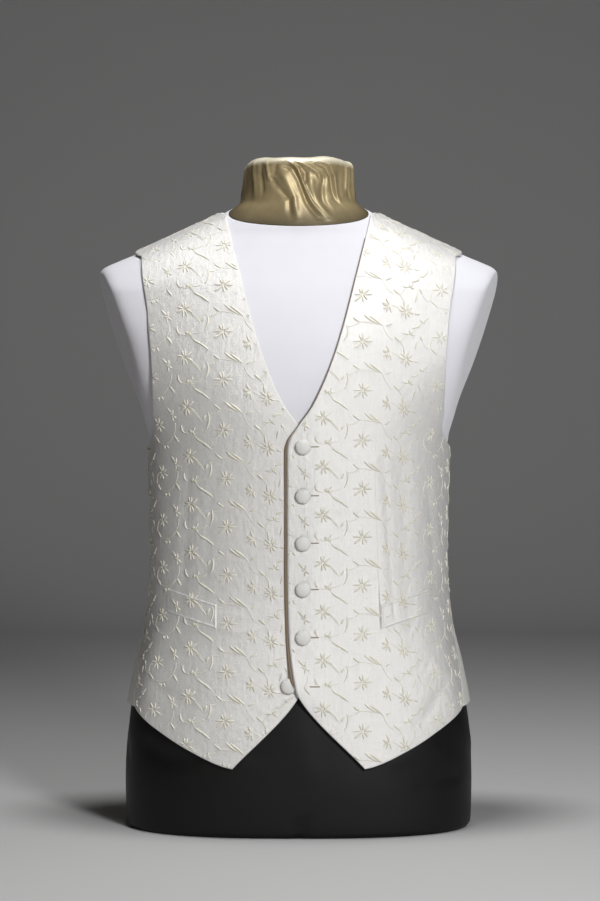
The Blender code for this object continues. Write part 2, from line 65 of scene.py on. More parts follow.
# The form's horizontal sections: half width, how far the front and back reach from the axis, where along
# the depth its widest line lies, and how square the outline is (2 is an ellipse).
SECTION_COLUMNS = ("height", "half_width", "front", "back", "side", "squareness")
SECTIONS = (
    (0.0000, 0.1925, 0.1125, 0.1235, 0.004, 2.45),
    (0.0050, 0.1955, 0.1155, 0.1265, 0.004, 2.45),
    (0.0200, 0.1965, 0.1165, 0.1280, 0.004, 2.45),
    (0.0500, 0.1970, 0.1170, 0.1285, 0.004, 2.45),
    (0.1000, 0.1950, 0.1155, 0.1275, 0.004, 2.42),
    (0.1390, 0.1900, 0.1130, 0.1240, 0.004, 2.40),
    (0.1850, 0.1805, 0.1090, 0.1150, 0.003, 2.36),
    (0.2300, 0.1700, 0.1060, 0.1045, 0.002, 2.32),
    (0.2650, 0.1672, 0.1050, 0.0975, 0.000, 2.30),
    (0.3000, 0.1663, 0.1060, 0.0945, 0.000, 2.28),
    (0.3670, 0.1670, 0.1115, 0.0990, 0.000, 2.25),
    (0.4300, 0.1690, 0.1180, 0.1085, 0.000, 2.22),
    (0.4700, 0.1850, 0.1205, 0.1145, 0.002, 2.15),
    (0.5000, 0.2080, 0.1185, 0.1170, 0.004, 2.10),
    (0.5350, 0.2380, 0.1125, 0.1180, 0.006, 2.05),
    (0.5700, 0.2580, 0.1020, 0.1150, 0.008, 2.00),
    (0.6000, 0.2620, 0.0900, 0.1085, 0.009, 2.00),
    (0.6220, 0.2410, 0.0790, 0.1000, 0.010, 2.00),
    (0.6500, 0.1810, 0.0650, 0.0850, 0.011, 2.00),
    (0.6700, 0.1375, 0.0565, 0.0750, 0.012, 2.00),
    (0.6940, 0.0860, 0.0525, 0.0690, 0.010, 2.00),
    (0.7060, 0.0675, 0.0525, 0.0660, 0.007, 2.00),
    (0.7220, 0.0625, 0.0545, 0.0630, 0.004, 2.00),
    (0.7460, 0.0606, 0.0560, 0.0610, 0.003, 2.00),
    (0.7530, 0.0585, 0.0540, 0.0590, 0.003, 2.00),
    (0.7570, 0.0520, 0.0470, 0.0520, 0.003, 2.00),
    (0.7580, 0.0440, 0.0390, 0.0440, 0.003, 2.00),
)

# The flat that ends each arm: half width on it at one height, its lean, its turn to the front and its
# rounded rim
ARM_FLAT_HALF_WIDTH = 0.199
ARM_FLAT_HEIGHT = 0.540
ARM_FLAT_LEAN = 0.318
ARM_FLAT_TURN = 0.176
ARM_FLAT_RIM = 0.014
ARM_FLAT_FOOT = 0.440
SIDE_BELOW_ARM = 0.178

# The form's own seams
WAIST_SEAM_HEIGHT = 0.250
NECK_SEAM_POINT = Vector((0.0, 0.010, 0.706))
NECK_SEAM_LEAN = math.radians(26)

# Ease: how far the cloth's inner face stands off the form
EASE_COLUMNS = ("height", "front", "side", "back")
EASE = (
    (0.060, 0.0055, 0.0016, 0.0040),
    (0.140, 0.0045, 0.0014, 0.0040),
    (0.220, 0.0035, 0.0012, 0.0065),
    (0.300, 0.0030, 0.0012, 0.0075),
    (0.430, 0.0020, 0.0017, 0.0035),
    (0.560, 0.0016, 0.0016, 0.0020),
    (0.640, 0.0015, 0.0015, 0.0016),
    (0.700, 0.0015, 0.0015, 0.0016),
)

# Large soft folds: degrees round from the centre front at the top and bottom ends, heights of those ends,
# half width in degrees, and how far the crest rises
FOLD_COLUMNS = ("top_angle", "bottom_angle", "top", "bottom", "half_width", "rise")
FOLDS = (
    (-62, -56, 0.270, 0.090, 9, 0.0030),
    (64, 58, 0.265, 0.095, 8, 0.0024),
    (-84, -92, 0.300, 0.130, 8, 0.0022),
    (84, 93, 0.310, 0.130, 7, 0.0026),
    (126, 134, 0.420, 0.140, 9, 0.0032),
    (-124, -131, 0.400, 0.140, 8, 0.0028),
    (157, 153, 0.380, 0.140, 7, 0.0030),
    (-152, -158, 0.430, 0.140, 8, 0.0034),
)

# The cut of a front, as seen from the front: the opening edge from the hem's point up to the neck point. A
# negative half width lies past the centre front.
OPENING_COLUMNS = ("height", "half_width")
OPENING = (
    (0.0760, 0.0725),
    (0.1566, -0.0016),
    (0.1630, -0.0040),
    (0.2170, -0.0112),
    (0.2900, -0.0130),
    (0.4220, -0.0130),
    (0.4340, -0.0112),
    (0.4510, 0.0000),
    (0.4740, 0.0165),
    (0.5320, 0.0409),
    (0.6255, 0.0667),
    (0.6880, 0.0828),
)
HEM_COLUMNS = ("half_width", "height")
HEM = (
    (0.0725, 0.0760),
    (0.0830, 0.0784),
    (0.1245, 0.0965),
    (0.1570, 0.1155),
    (0.1780, 0.1310),
)
ARMHOLE_COLUMNS = ("height", "front", "back")
ARMHOLE = (
    (0.4630, 0.1626, 0.1640),
    (0.4910, 0.1627, 0.1640),
    (0.5210, 0.1636, 0.1650),
    (0.5540, 0.1666, 0.1685),
    (0.5850, 0.1700, 0.1720),
    (0.6170, 0.1760, 0.1770),
    (0.6400, 0.1790, 0.1790),
)
SIDE_SEAM_COLUMNS = ("height", "angle")
SIDE_SEAM = (
    (0.1365, 70),
    (0.1800, 77),
    (0.2200, 84),
    (0.3000, 90),
    (0.4275, 92),
)
BACK_HEM_COLUMNS = ("angle", "height")
BACK_HEM = (
    (70, 0.1365),
    (110, 0.1390),
    (180, 0.1420),
)
SHOULDER_SEAM_ANGLE = 97
NECK_POINT_HEIGHT = 0.6935
SHOULDER_POINT_HEIGHT = 0.6535
BACK_NECK_HEIGHT = 0.6970

# How the left front laps over the right one, and how its edge lifts over the undone button
LAP_FLUSH = 0.042
LAP_FULL = 0.017
LAP_ENDS = (0.125, 0.160)
LIFT_PLACE = (-0.004, 0.166)
LIFT_SPREAD = (0.013, 0.021)
LIFT_RISE = 0.0054

# Welts: inner and outer ends seen from the front, the height of the lower edge there, and how tall they are
WELT_ENDS = (0.0900, 0.1535)
WELT_LOWER = (0.2272, 0.2460)
WELT_HEIGHT = 0.0270

# Buttons: their size, the roll and depth of the back of the rim, how many tucks go round in each wave of
# the cover and how deep they are, and how far the cover warps. Then where they sit.
BUTTON_RADIUS = 0.0085
BUTTON_RIM = 0.0022
BUTTON_DOME = 0.0033
BUTTON_ROLL = 0.0011
BUTTON_DEPTH = 0.0018
BUTTON_TUCKS = (5, 7, 11, 16, 23)
BUTTON_TUCK_DEPTH = 0.00005
BUTTON_WARP = 0.00012
BUTTON_HEIGHTS = (0.428, 0.375, 0.323, 0.272, 0.219)
BUTTON_HALF_WIDTH = 0.005
UNDONE_BUTTON = (-0.0110, 0.166)

# How finely the surfaces are divided, in faces across and up for each grid. BLOCK is how many places are
# worked on at once.
FRONT_GRID = (118, 248)
BACK_GRID = (80, 150)
BACK_NECK_SHARE = 26
WELT_GRID = (150, 72)
SHOULDER_ROWS = (0.72, 0.80)
RIM_STEPS = (0.0, 0.00015, 0.00045, 0.0009, 0.0014, 0.0020, 0.0028, 0.0038, 0.0052)
PANEL_LENGTH = 0.60
PANEL_WIDTH = 0.17
EDGE_SAMPLES = 600
TURN_SAMPLES = 40
OUTLINE_STEPS = (60, 24, 120, 120)
NORMAL_STEP = (0.02, 0.004)
BLOCK = 4000

# The form's meshes: degrees from column to column, and rows
BODY_MESH = (1.5, 170)
NECK_MESH = (1.2, 120)
HIP_MESH = (1.25, 130)

# The charts between cloth and body: first, last and step of the angle, the height, and s and t on the cloth
CHART_ANGLES = (-14, 130.5, 0.5)
CHART_HEIGHTS = (0.050, 0.7205, 0.0025)
CHART_ROUND = (-0.032, 0.360, 0.004)
CHART_UP = (-0.36, 0.44, 0.004)

# Lights: name, place, aim, size across, watts and colour
LIGHTS = (
    ("key", (0.86, -2.06, 1.12), (0, 0, 0.42), 0.42, 38.5, (1.0, 1.0, 1.0)),
    ("fill", (-1.3, -2.6, 0.8), (0, 0, 0.40), 1.0, 3.0, (1.0, 0.80, 0.64)),
    ("top", (0.0, -0.20, 2.35), (0, 0, 0.62), 0.45, 26, (1.0, 1.0, 1.0)),
)
WORLD_STRENGTH = 0.02
LENS = 91.1
FILM_WIDTH = 36
CAMERA_ASIDE = 0.0015


def columns(names, rows):
    """A table's rows as one array for each named column."""
    return dict(zip(names, np.transpose(rows)))


BODY = columns(SECTION_COLUMNS, SECTIONS)
STAND_OFF = columns(EASE_COLUMNS, EASE)


def smooth_curve(knots, values, at):
    """Cubic through the knots without overshoot.

    Each inner slope is the harmonic mean of the two chords beside it, or zero where they turn.
    """
    knots = np.asarray(knots, float)
    values = np.asarray(values, float)
    step = np.diff(knots)
    chord = np.diff(values) / step
    same_way = chord[:-1] * chord[1:] > 0
    total = np.where(same_way, chord[:-1] + chord[1:], 1.0)
    inner = np.where(same_way, 2 * chord[:-1] * chord[1:] / total, 0.0)
    slope = np.concatenate([chord[:1], inner, chord[-1:]])
    index = np.clip(np.searchsorted(knots, at) - 1, 0, len(step) - 1)
    run = step[index]
    t = np.clip((at - knots[index]) / run, 0.0, 1.0)
    return (
        values[index] * (2 * t**3 - 3 * t**2 + 1)
        + values[index + 1] * (3 * t**2 - 2 * t**3)
        + slope[index] * run * (t**3 - 2 * t**2 + t)
        + slope[index + 1] * run * (t**3 - t**2)
    )


def soft_step(value):
    """0 below 0, 1 above 1, with a smooth run between."""
    t = np.clip(value, 0.0, 1.0)
    return t * t * (3 - 2 * t)


def soft_min(first, second, round_by):
    """The lesser of the two, rounded where they meet."""
    near = np.maximum(round_by - np.abs(first - second), 0.0) / round_by
    return np.minimum(first, second) - near**2 * round_by / 4


def signed_power(value, power):
    return np.sign(value) * np.abs(value) ** power


def section_at(height):
    return {
        name: smooth_curve(BODY["height"], BODY[name], height)
        for name in SECTION_COLUMNS[1:]
    }


def body_point(angle, height):
    """Points of the body surface. The angle runs from the centre front round to the wearer's left."""
    section = section_at(height)
    power = 2 / section["squareness"]
    across = signed_power(np.sin(angle), power)
    along = signed_power(np.cos(angle), power)
    reach = np.where(
        along > 0, section["front"] + section["side"], section["back"] - section["side"]
    )
    x = section["half_width"] * across
    y = section["side"] - reach * along
    return np.stack([x, y, np.broadcast_to(height, x.shape)], axis=-1)


def body_normal(angle, height):
    """Outward normals of the body surface, across a short step each way."""
    turn, rise = NORMAL_STEP
    around = body_point(angle + turn, height) - body_point(angle - turn, height)
    upward = body_point(angle, height + rise) - body_point(angle, height - rise)
    normal = np.cross(around, upward)
    return normal / np.linalg.norm(normal, axis=-1, keepdims=True)


def angle_of(points):
    """The angle round the section at which each point lies."""
    section = section_at(points[..., 2])
    power = section["squareness"] / 2
    along = section["side"] - points[..., 1]
    reach = np.where(
        along > 0, section["front"] + section["side"], section["back"] - section["side"]
    )
    across = signed_power(points[..., 0] / section["half_width"], power)
    return np.arctan2(across, signed_power(along / reach, power))


def angle_seen(half_width, height):
    """The angle of cloth seen at this half width from the front."""
    section = section_at(height)
    share = np.clip(half_width / (section["half_width"] + MEASURED_EASE), -1.0, 1.0)
    return np.arcsin(signed_power(share, section["squareness"] / 2))


def ease_at(angle, height):
    """How far the cloth stands off the form, folds included."""
    part = {
        name: smooth_curve(STAND_OFF["height"], STAND_OFF[name], height)
        for name in EASE_COLUMNS[1:]
    }
    facing = np.cos(angle)
    ease = part["side"] + (part["front"] - part["side"]) * np.maximum(facing, 0) ** 2
    ease = ease + (part["back"] - part["side"]) * np.maximum(-facing, 0) ** 2
    for row in FOLDS:
        fold = dict(zip(FOLD_COLUMNS, row))
        down = (fold["top"] - height) / (fold["top"] - fold["bottom"])
        centre = fold["top_angle"] + (fold["bottom_angle"] - fold["top_angle"]) * down
        off = (np.degrees(angle) - centre + 180) % 360 - 180
        crest = np.exp(-((off / fold["half_width"]) ** 2))
        ease = ease + fold["rise"] * crest * soft_step(down * 1.6)
    return ease


def lap_lift(angle, height):
    """How far the left front lies above its own place, over the right front and over the undone button."""
    x = body_point(angle, height)[..., 0]
    low, high = LAP_ENDS
    over = soft_step((LAP_FLUSH - x) / (LAP_FLUSH - LAP_FULL))
    over = over * soft_step((height - low) / (high - low))
    beside = (x - LIFT_PLACE[0]) / LIFT_SPREAD[0]
    above = (height - LIFT_PLACE[1]) / LIFT_SPREAD[1]
    lift = LIFT_RISE * np.exp(-(beside**2) - above**2)
    return (WALL + LAP_GAP) * over + lift


def cloth_point(angle, height, stand_off):
    """Points this far outside the cloth's inner face."""
    out = ease_at(angle, height) + stand_off
    return body_point(angle, height) + body_normal(angle, height) * out[..., None]


def spread(points, count=None, share=None):
    """A curve's points spaced out again evenly by length, or by the given shares of its length."""
    length = np.concatenate([[0], np.cumsum(np.linalg.norm(np.diff(points, axis=0), axis=1))])
    share = np.linspace(0, 1, count + 1) if share is None else share
    return np.stack([np.interp(share * length[-1], length, column) for column in points.T], axis=1)


def edge(angles, heights):
    """An edge curve on the body, from angles in radians and heights."""
    return body_point(np.asarray(angles, float), np.asarray(heights, float))


def moved_round(points, distance):
    """An edge moved round the body by a small distance, to part two seamed pieces."""
    angle = angle_of(points)
    ahead = body_point(angle + 0.001, points[:, 2]) - points
    ahead = ahead / np.linalg.norm(ahead, axis=1, keepdims=True)
    return points + ahead * distance


def patch(bottom, top, inner, outer, across, up):
    """A patch of the body between four edges, at the given shares across and up.

    Each point blends the two edges across and the two edges along, less the blend of the corners. It then
    takes the angle of its own section, which puts it back on the body. Returns the angles and the heights.
    """
    u = across[None, :, None]
    v = up[:, None, None]
    between = (1 - v) * bottom[None] + v * top[None] + (1 - u) * inner[:, None] + u * outer[:, None]
    corners = (1 - u) * (1 - v) * bottom[0] + u * (1 - v) * bottom[-1]
    corners = corners + (1 - u) * v * top[0] + u * v * top[-1]
    points = between - corners
    return angle_of(points), points[..., 2]


def rim_shares(count, length):
    """Shares of an edge of this length: close together where the cloth rolls at its ends, even between."""
    rim = np.array(RIM_STEPS) / length
    inner = np.linspace(rim[-1], 1 - rim[-1], count + 1 - 2 * (len(rim) - 1))
    return np.concatenate([rim[:-1], inner, 1 - rim[:-1][::-1]])


def row_shares(count):
    """Shares of a panel's long edge, with rows closer together where the cloth bends over the shoulder."""
    bend_row, bend_share = SHOULDER_ROWS
    even = rim_shares(count, PANEL_LENGTH)
    bent = np.interp(even, [0, bend_row, 1], [0, bend_share, 1])
    near = np.minimum(even, 1 - even) * PANEL_LENGTH < RIM_STEPS[-1] * 1.01
    return np.where(near, even, bent)


def sampled(names, rows, value):
    """A table's first column at even steps, and another column's curve through it at the same steps."""
    table = columns(names, rows)
    at = np.linspace(table[names[0]][0], table[names[0]][-1], EDGE_SAMPLES)
    return at, smooth_curve(table[names[0]], table[value], at)


def over_shoulder(angle, height, end_height):
    """An edge's angles and heights carried on over the shoulder to its seam."""
    over = np.linspace(0, 1, TURN_SAMPLES)[1:]
    seam = math.radians(SHOULDER_SEAM_ANGLE)
    angle = np.concatenate([angle, angle[-1] + (seam - angle[-1]) * over])
    return angle, np.concatenate([height, height[-1] + (end_height - height[-1]) * over])


def opening_edge():
    """The front's opening edge, from the hem's point, up the neckline and over the shoulder."""
    height, half_width = sampled(OPENING_COLUMNS, OPENING, "half_width")
    return edge(*over_shoulder(angle_seen(half_width, height), height, NECK_POINT_HEIGHT))


def armhole_edge(side):
    """Half of the armhole, from the underarm up to the shoulder seam, on the front or the back."""
    height, half_width = sampled(ARMHOLE_COLUMNS, ARMHOLE, side)
    angle = angle_seen(half_width, height)
    if side == "back":
        angle = math.pi - angle
    under_height, under_angle = SIDE_SEAM[-1]
    under_angle = math.radians(under_angle)
    turn = np.linspace(math.pi / 2, 0, TURN_SAMPLES)[:-1]
    low_angle = angle[0] + (under_angle - angle[0]) * (1 - np.cos(turn))
    low_height = height[0] + (under_height - height[0]) * np.sin(turn)
    angle, height = over_shoulder(angle, height, SHOULDER_POINT_HEIGHT)
    return edge(np.concatenate([low_angle, angle]), np.concatenate([low_height, height]))


def side_seam_edge():
    height, angle = sampled(SIDE_SEAM_COLUMNS, SIDE_SEAM, "angle")
    return edge(np.radians(angle), height)


def front_hem_edge():
    half_width, height = sampled(HEM_COLUMNS, HEM, "height")
    end_height, end_angle = SIDE_SEAM[0]
    angle = np.append(angle_seen(half_width, height), math.radians(end_angle))
    return edge(angle, np.append(height, end_height))


def back_hem_edge():
    """From the centre back to the side seam."""
    table = columns(BACK_HEM_COLUMNS, BACK_HEM)
    angle = np.linspace(180, table["angle"][0], EDGE_SAMPLES)
    return edge(np.radians(angle), smooth_curve(table["angle"], table["height"], angle))


def back_neck_edge():
    """From the centre back to the neck point."""
    share = np.linspace(0, 1, EDGE_SAMPLES)
    angle = math.pi + (math.radians(SHOULDER_SEAM_ANGLE) - math.pi) * share
    return edge(angle, BACK_NECK_HEIGHT + (NECK_POINT_HEIGHT - BACK_NECK_HEIGHT) * share)


def shoulder_edge():
    """From the neck point to the end of the shoulder."""
    height = np.linspace(NECK_POINT_HEIGHT, SHOULDER_POINT_HEIGHT, EDGE_SAMPLES)
    return edge(np.full(EDGE_SAMPLES, math.radians(SHOULDER_SEAM_ANGLE)), height)


def front_edges():
    """The left front's hem, shoulder, opening, and side with armhole."""
    side = moved_round(side_seam_edge(), -SEAM_GAP / 2)
    hem = front_hem_edge()
    hem[-1] = side[0]
    shoulder = moved_round(shoulder_edge(), -SEAM_GAP / 2)
    return hem, shoulder, opening_edge(), np.concatenate([side, armhole_edge("front")[1:]])


def front_patch():
    """The wearer's left front, its edges drawn together at the ends of the shoulder."""
    across = rim_shares(FRONT_GRID[0], PANEL_WIDTH)
    up = row_shares(FRONT_GRID[1])
    hem, shoulder, inner, outer = front_edges()
    outer[-1] = shoulder[-1]
    inner[-1] = shoulder[0]
    return patch(
        spread(hem, None, across),
        spread(shoulder, None, across),
        spread(inner, None, up),
        spread(outer, None, up),
        across,
        up,
    )


def back_patch():
    """The wearer's left back, from the centre-back seam."""
    across = rim_shares(BACK_GRID[0], PANEL_WIDTH)
    up = row_shares(BACK_GRID[1])
    side = moved_round(side_seam_edge(), SEAM_GAP / 2)
    shoulder = moved_round(shoulder_edge(), SEAM_GAP / 2)
    arm = armhole_edge("back")
    arm[-1] = shoulder[-1]
    neck = moved_round(back_neck_edge(), -SEAM_GAP / 2)
    neck[-1] = shoulder[0]
    hem = moved_round(back_hem_edge(), -SEAM_GAP / 2)
    hem[-1] = side[0]
    centre_height = np.linspace(hem[0][2], neck[0][2], EDGE_SAMPLES)
    centre = moved_round(edge(np.full(EDGE_SAMPLES, math.pi), centre_height), -SEAM_GAP / 2)
    corner = across[BACK_NECK_SHARE]
    top = np.concatenate([
        spread(neck, None, across[:BACK_NECK_SHARE + 1] / corner),
        spread(shoulder, None, (across[BACK_NECK_SHARE:] - corner) / (1 - corner))[1:],
    ])
    return patch(
        spread(hem, None, across),
        top,
        spread(centre, None, up),
        spread(np.concatenate([side, arm[1:]]), None, up),
        across,
        up,
    )


def welt_patch():
    """The left pocket welt, between its slanting edges."""
    across, up = WELT_GRID
    u = np.linspace(0, 1, across + 1)[None, :]
    v = np.linspace(0, 1, up + 1)[:, None]
    height = WELT_LOWER[0] + (WELT_LOWER[1] - WELT_LOWER[0]) * u + WELT_HEIGHT * v
    half_width = np.broadcast_to(WELT_ENDS[0] + (WELT_ENDS[1] - WELT_ENDS[0]) * u, height.shape)
    return angle_seen(half_width, height), height


# Creases: points as degrees round from the centre front and heights in millimetres, then in
# tenths of a millimetre the half widths of the first and the last end, and the rise, which is below zero
# for a trough
FRONT_CREASES = {
    "left": (
        (((30, 432), (33, 330), (35, 222)), (30, 30), -8),
        (((26, 440), (29, 330), (31, 200)), (90, 110), 9),
        (((38, 440), (41, 330), (43, 190)), (100, 120), -10),
        (((54, 395), (60, 330), (61, 270)), (70, 60), -9),
        (((44, 300), (57, 291), (70, 302)), (60, 50), -8),
        (((48, 190), (60, 170), (72, 176)), (80, 60), 10),
        (((38, 120), (50, 150), (60, 165)), (70, 70), -9),
        (((52, 500), (60, 470), (72, 452)), (70, 50), -9),
        (((6, 240), (14, 232), (24, 236)), (50, 40), -5),
        (((6, 345), (13, 352), (22, 350)), (50, 50), -5),
        (((30, 600), (42, 565), (56, 548)), (90, 80), -10),
    ),
    "right": (
        (((31, 404), (33, 330), (35, 232)), (30, 30), -5),
        (((42, 440), (45, 330), (47, 250)), (90, 80), -9),
        (((36, 352), (50, 330), (66, 336)), (60, 60), 8),
        (((30, 296), (44, 282), (60, 286)), (50, 50), -8),
        (((8, 262), (18, 250), (30, 252)), (50, 40), -6),
        (((8, 232), (18, 224), (29, 230)), (40, 30), 5),
        (((40, 196), (54, 176), (66, 182)), (80, 70), 10),
        (((30, 140), (44, 150), (58, 168)), (90, 70), -10),
        (((54, 505), (62, 470), (74, 452)), (60, 50), -10),
        (((28, 610), (40, 575), (55, 556)), (80, 80), -9),
    ),
}
BACK_CREASES = {
    "left": (
        (((176, 620), (160, 560), (138, 530)), (110, 80), -14),
        (((172, 470), (150, 440), (118, 448)), (90, 70), -14),
        (((170, 392), (148, 366), (110, 382)), (80, 60), 13),
        (((176, 335), (152, 318), (112, 330)), (70, 60), -13),
        (((168, 292), (146, 282), (108, 290)), (70, 50), 11),
        (((174, 250), (150, 246), (112, 262)), (70, 60), -11),
        (((150, 230), (146, 190), (148, 145)), (110, 140), 15),
        (((122, 225), (120, 185), (121, 142)), (90, 120), -13),
        (((140, 640), (128, 600), (116, 560)), (90, 70), -11),
    ),
    "right": (
        (((175, 600), (158, 548), (134, 512)), (110, 80), -14),
        (((170, 455), (146, 430), (116, 440)), (80, 70), -13),
        (((174, 372), (150, 352), (108, 366)), (80, 70), 13),
        (((168, 320), (144, 306), (110, 318)), (60, 60), -12),
        (((172, 276), (150, 266), (112, 275)), (70, 50), 11),
        (((162, 232), (140, 228), (110, 240)), (60, 60), -10),
        (((160, 225), (157, 190), (160, 146)), (100, 140), -14),
        (((132, 230), (129, 190), (130, 143)), (100, 130), 15),
        (((144, 650), (130, 605), (115, 566)), (90, 70), -12),
    ),
}
NECK_FOLDS = (
    (((-37, 749), (-35, 739), (-33, 729), (-28, 723)), (18, 22), 18),
    (((-26, 745), (-25, 738), (-27, 729)), (40, 40), -16),
    (((-19, 738), (-11, 721), (-4, 706), (-1, 681)), (50, 24), 24),
    (((-32, 729), (-20, 717), (-9, 704), (-3, 682)), (34, 20), -22),
    (((-23, 745), (-7, 739), (0, 726), (6, 708), (12, 683)), (36, 22), -32),
    (((-12, 748), (-1, 738), (4, 723), (10, 706), (17, 682)), (19, 16), 32),
    (((0, 742), (7, 734), (7, 720)), (22, 26), -24),
    (((-3, 747), (10, 741), (20, 734), (25, 722)), (18, 22), 24),
    (((12, 732), (13, 717), (16, 704), (20, 681)), (50, 34), 18),
    (((28, 733), (25, 719), (22, 690)), (34, 26), -22),
    (((15, 746), (29, 742), (36, 730), (38, 696)), (28, 22), -28),
    (((18, 749), (34, 744), (40, 731), (42, 697)), (16, 16), 28),
    (((48, 740), (47, 726), (45, 704)), (50, 36), -18),
    (((61, 747), (60, 733), (56, 712)), (22, 24), 24),
    (((-44, 750), (-44, 734), (-38, 708)), (40, 26), -18),
    (((-57, 752), (-55, 736), (-48, 706)), (26, 30), 16),
    (((70, 755), (68, 736), (60, 704)), (30, 20), -22),
    (((84, 757), (80, 738), (70, 700)), (24, 30), 26),
    (((-86, 754), (-78, 732), (-70, 698)), (30, 22), -24),
    (((-104, 757), (-98, 736), (-90, 706)), (20, 30), 26),
    (((-124, 755), (-120, 738), (-114, 714)), (36, 26), -22),
    (((-144, 757), (-142, 738), (-137, 718)), (22, 30), 26),
    (((-166, 754), (-164, 738), (-160, 722)), (34, 22), -24),
    (((172, 757), (173, 740), (176, 722)), (20, 30), 28),
    (((152, 754), (154, 738), (158, 722)), (36, 24), -22),
    (((133, 757), (136, 738), (140, 716)), (22, 28), 26),
    (((112, 755), (116, 736), (118, 710)), (34, 24), -24),
    (((98, 757), (97, 738), (94, 706)), (20, 28), 24),
)
HIP_CREASES = (
    (((-52, 150), (-38, 118), (-22, 104)), (120, 140), 14),
    (((-62, 100), (-44, 84), (-26, 86)), (110, 100), -12),
    (((-14, 140), (-8, 110), (-12, 78)), (100, 120), -10),
    (((2, 176), (0, 120), (2, 52)), (90, 80), 9),
    (((22, 80), (38, 94), (54, 92)), (120, 120), 12),
    (((34, 50), (52, 62), (66, 60)), (90, 90), -10),
    (((60, 130), (72, 100), (88, 90)), (110, 120), 12),
    (((-92, 140), (-84, 100), (-72, 70)), (100, 120), -12),
    (((108, 150), (120, 112), (138, 96)), (120, 140), 14),
    (((150, 120), (166, 100), (182, 104)), (100, 110), -12),
    (((-112, 150), (-126, 110), (-146, 94)), (120, 130), 13),
    (((-152, 130), (-164, 90), (-172, 60)), (100, 110), -11),
    (((1, 26), (0, 12), (0, -4)), (14, 30), -34),
    (((176, 24), (177, 12), (177, -4)), (16, 30), -30),
)
# The neck cap: its top, the height that its rim's normals are taken from, how deep the rim is, how fast the
# painted shade low on its brim fades up the cloth, and where the painted highlight along its rim starts
NECK_TOP = 0.7575
NECK_RIM_FOOT = 0.746
NECK_RIM = 0.0135
NECK_BRIM_SHADE = 34.0
NECK_RIM_HIGHLIGHT = 0.7430

# How far a welt's face stands above the front, and its ridge: the rise, the place in from the edge, the spread
WELT_FACE = 0.0005
WELT_RIDGE = 0.0006
WELT_RIDGE_PLACE = 0.0016
WELT_RIDGE_SPREAD = 0.0012

# The embroidery's repeat, 176 mm round by 53 mm up, charted in millimetres and degrees: 0 points
# outwards from the centre front and 90 up
REPEAT = (176, 53)
# Stars: across, up, number of petals, their reach and the first one's heading. The fan has the last one's
# too.
STARS = (
    (34, 0, 8, 9.5, 10),
    (83, 19.8, 8, 10.4, 5),
    (127, 44.4, 8, 10.4, 18),
    (170, 26, 7, 10.2, 0),
)
FAN = (53, 7.2, 6, 9.4, -96, 58)
LEAF_COLUMNS = ("across", "up", "heading", "length", "bend", "half_width")
LEAVES = (
    (81.3, 49.3, -137, 19.9, -18, 1.35),
    (75.0, 47.6, -149, 17.8, 14, 1.45),
    (93.8, 46.6, -144, 9.5, 0, 1.25),
    (101.0, 38.4, -112, 19.3, 64, 1.20),
    (47.9, 25.0, -138, 9.3, 0, 1.40),
    (56.9, 36.5, 150, 7.4, 8, 1.10),
    (29.8, 27.7, 0, 9, 12, 0.85),
    (29.8, 27.7, 130, 5.5, 0, 1.00),
    (29.8, 27.7, -160, 5.5, 0, 1.00),
    (29.8, 27.7, 75, 4.5, 0, 1.00),
    (24.6, -2.0, -165, 6.0, 0, 1.00),
    (88.3, 15.7, -45, 6.0, 10, 1.10),
    (103.9, 35.6, -58, 6.2, 0, 1.35),
    (134.8, 25.4, -68, 11.0, -92, 1.20),
    (122.0, 16.7, 20, 4.6, 30, 0.95),
    (122.0, 16.7, 70, 4.4, -30, 0.95),
    (122.0, 16.7, 120, 4.6, 30, 0.95),
    (122.0, 16.7, 205, 4.6, -20, 0.95),
    (119.0, 19.0, 95, 4.2, 40, 0.85),
    (118.2, 15.2, 30, 3.8, 40, 0.85),
    (117.1, 11.0, -146, 13.8, -10, 1.35),
    (110.4, 7.2, -150, 14.3, 12, 1.45),
    (147.0, 37.6, 42, 10.0, 6, 1.35),
    (146.4, 36.4, 98, 6.0, 0, 1.10),
    (146.0, 36.0, 10, 5.0, 0, 1.00),
    (146.2, 35.4, -150, 5.6, 0, 1.05),
    (146.6, 35.2, -88, 5.6, 0, 1.05),
    (181.0, 12.8, -140, 10.0, 6, 1.35),
    (147.5, 14.6, -132, 10.3, 8, 1.35),
    (162.5, 3.2, -80, 4.4, 30, 0.95),
    (159.5, 3.8, -110, 4.6, -20, 0.95),
    (165.5, 3.0, -120, 4.0, 20, 0.90),
    (37.4, 13.2, -98, 8.6, 6, 1.25),
    (28.0, 34.3, 168, 10.4, -10, 1.20),
    (17.5, 39.8, 145, 11.7, -10, 1.20),
    (18.0, 43.3, -148, 6.5, 0, 1.10),
    (19.0, 25.8, -130, 6.9, 20, 1.35),
    (22.0, 19.8, -81, 9.6, 12, 1.20),
)
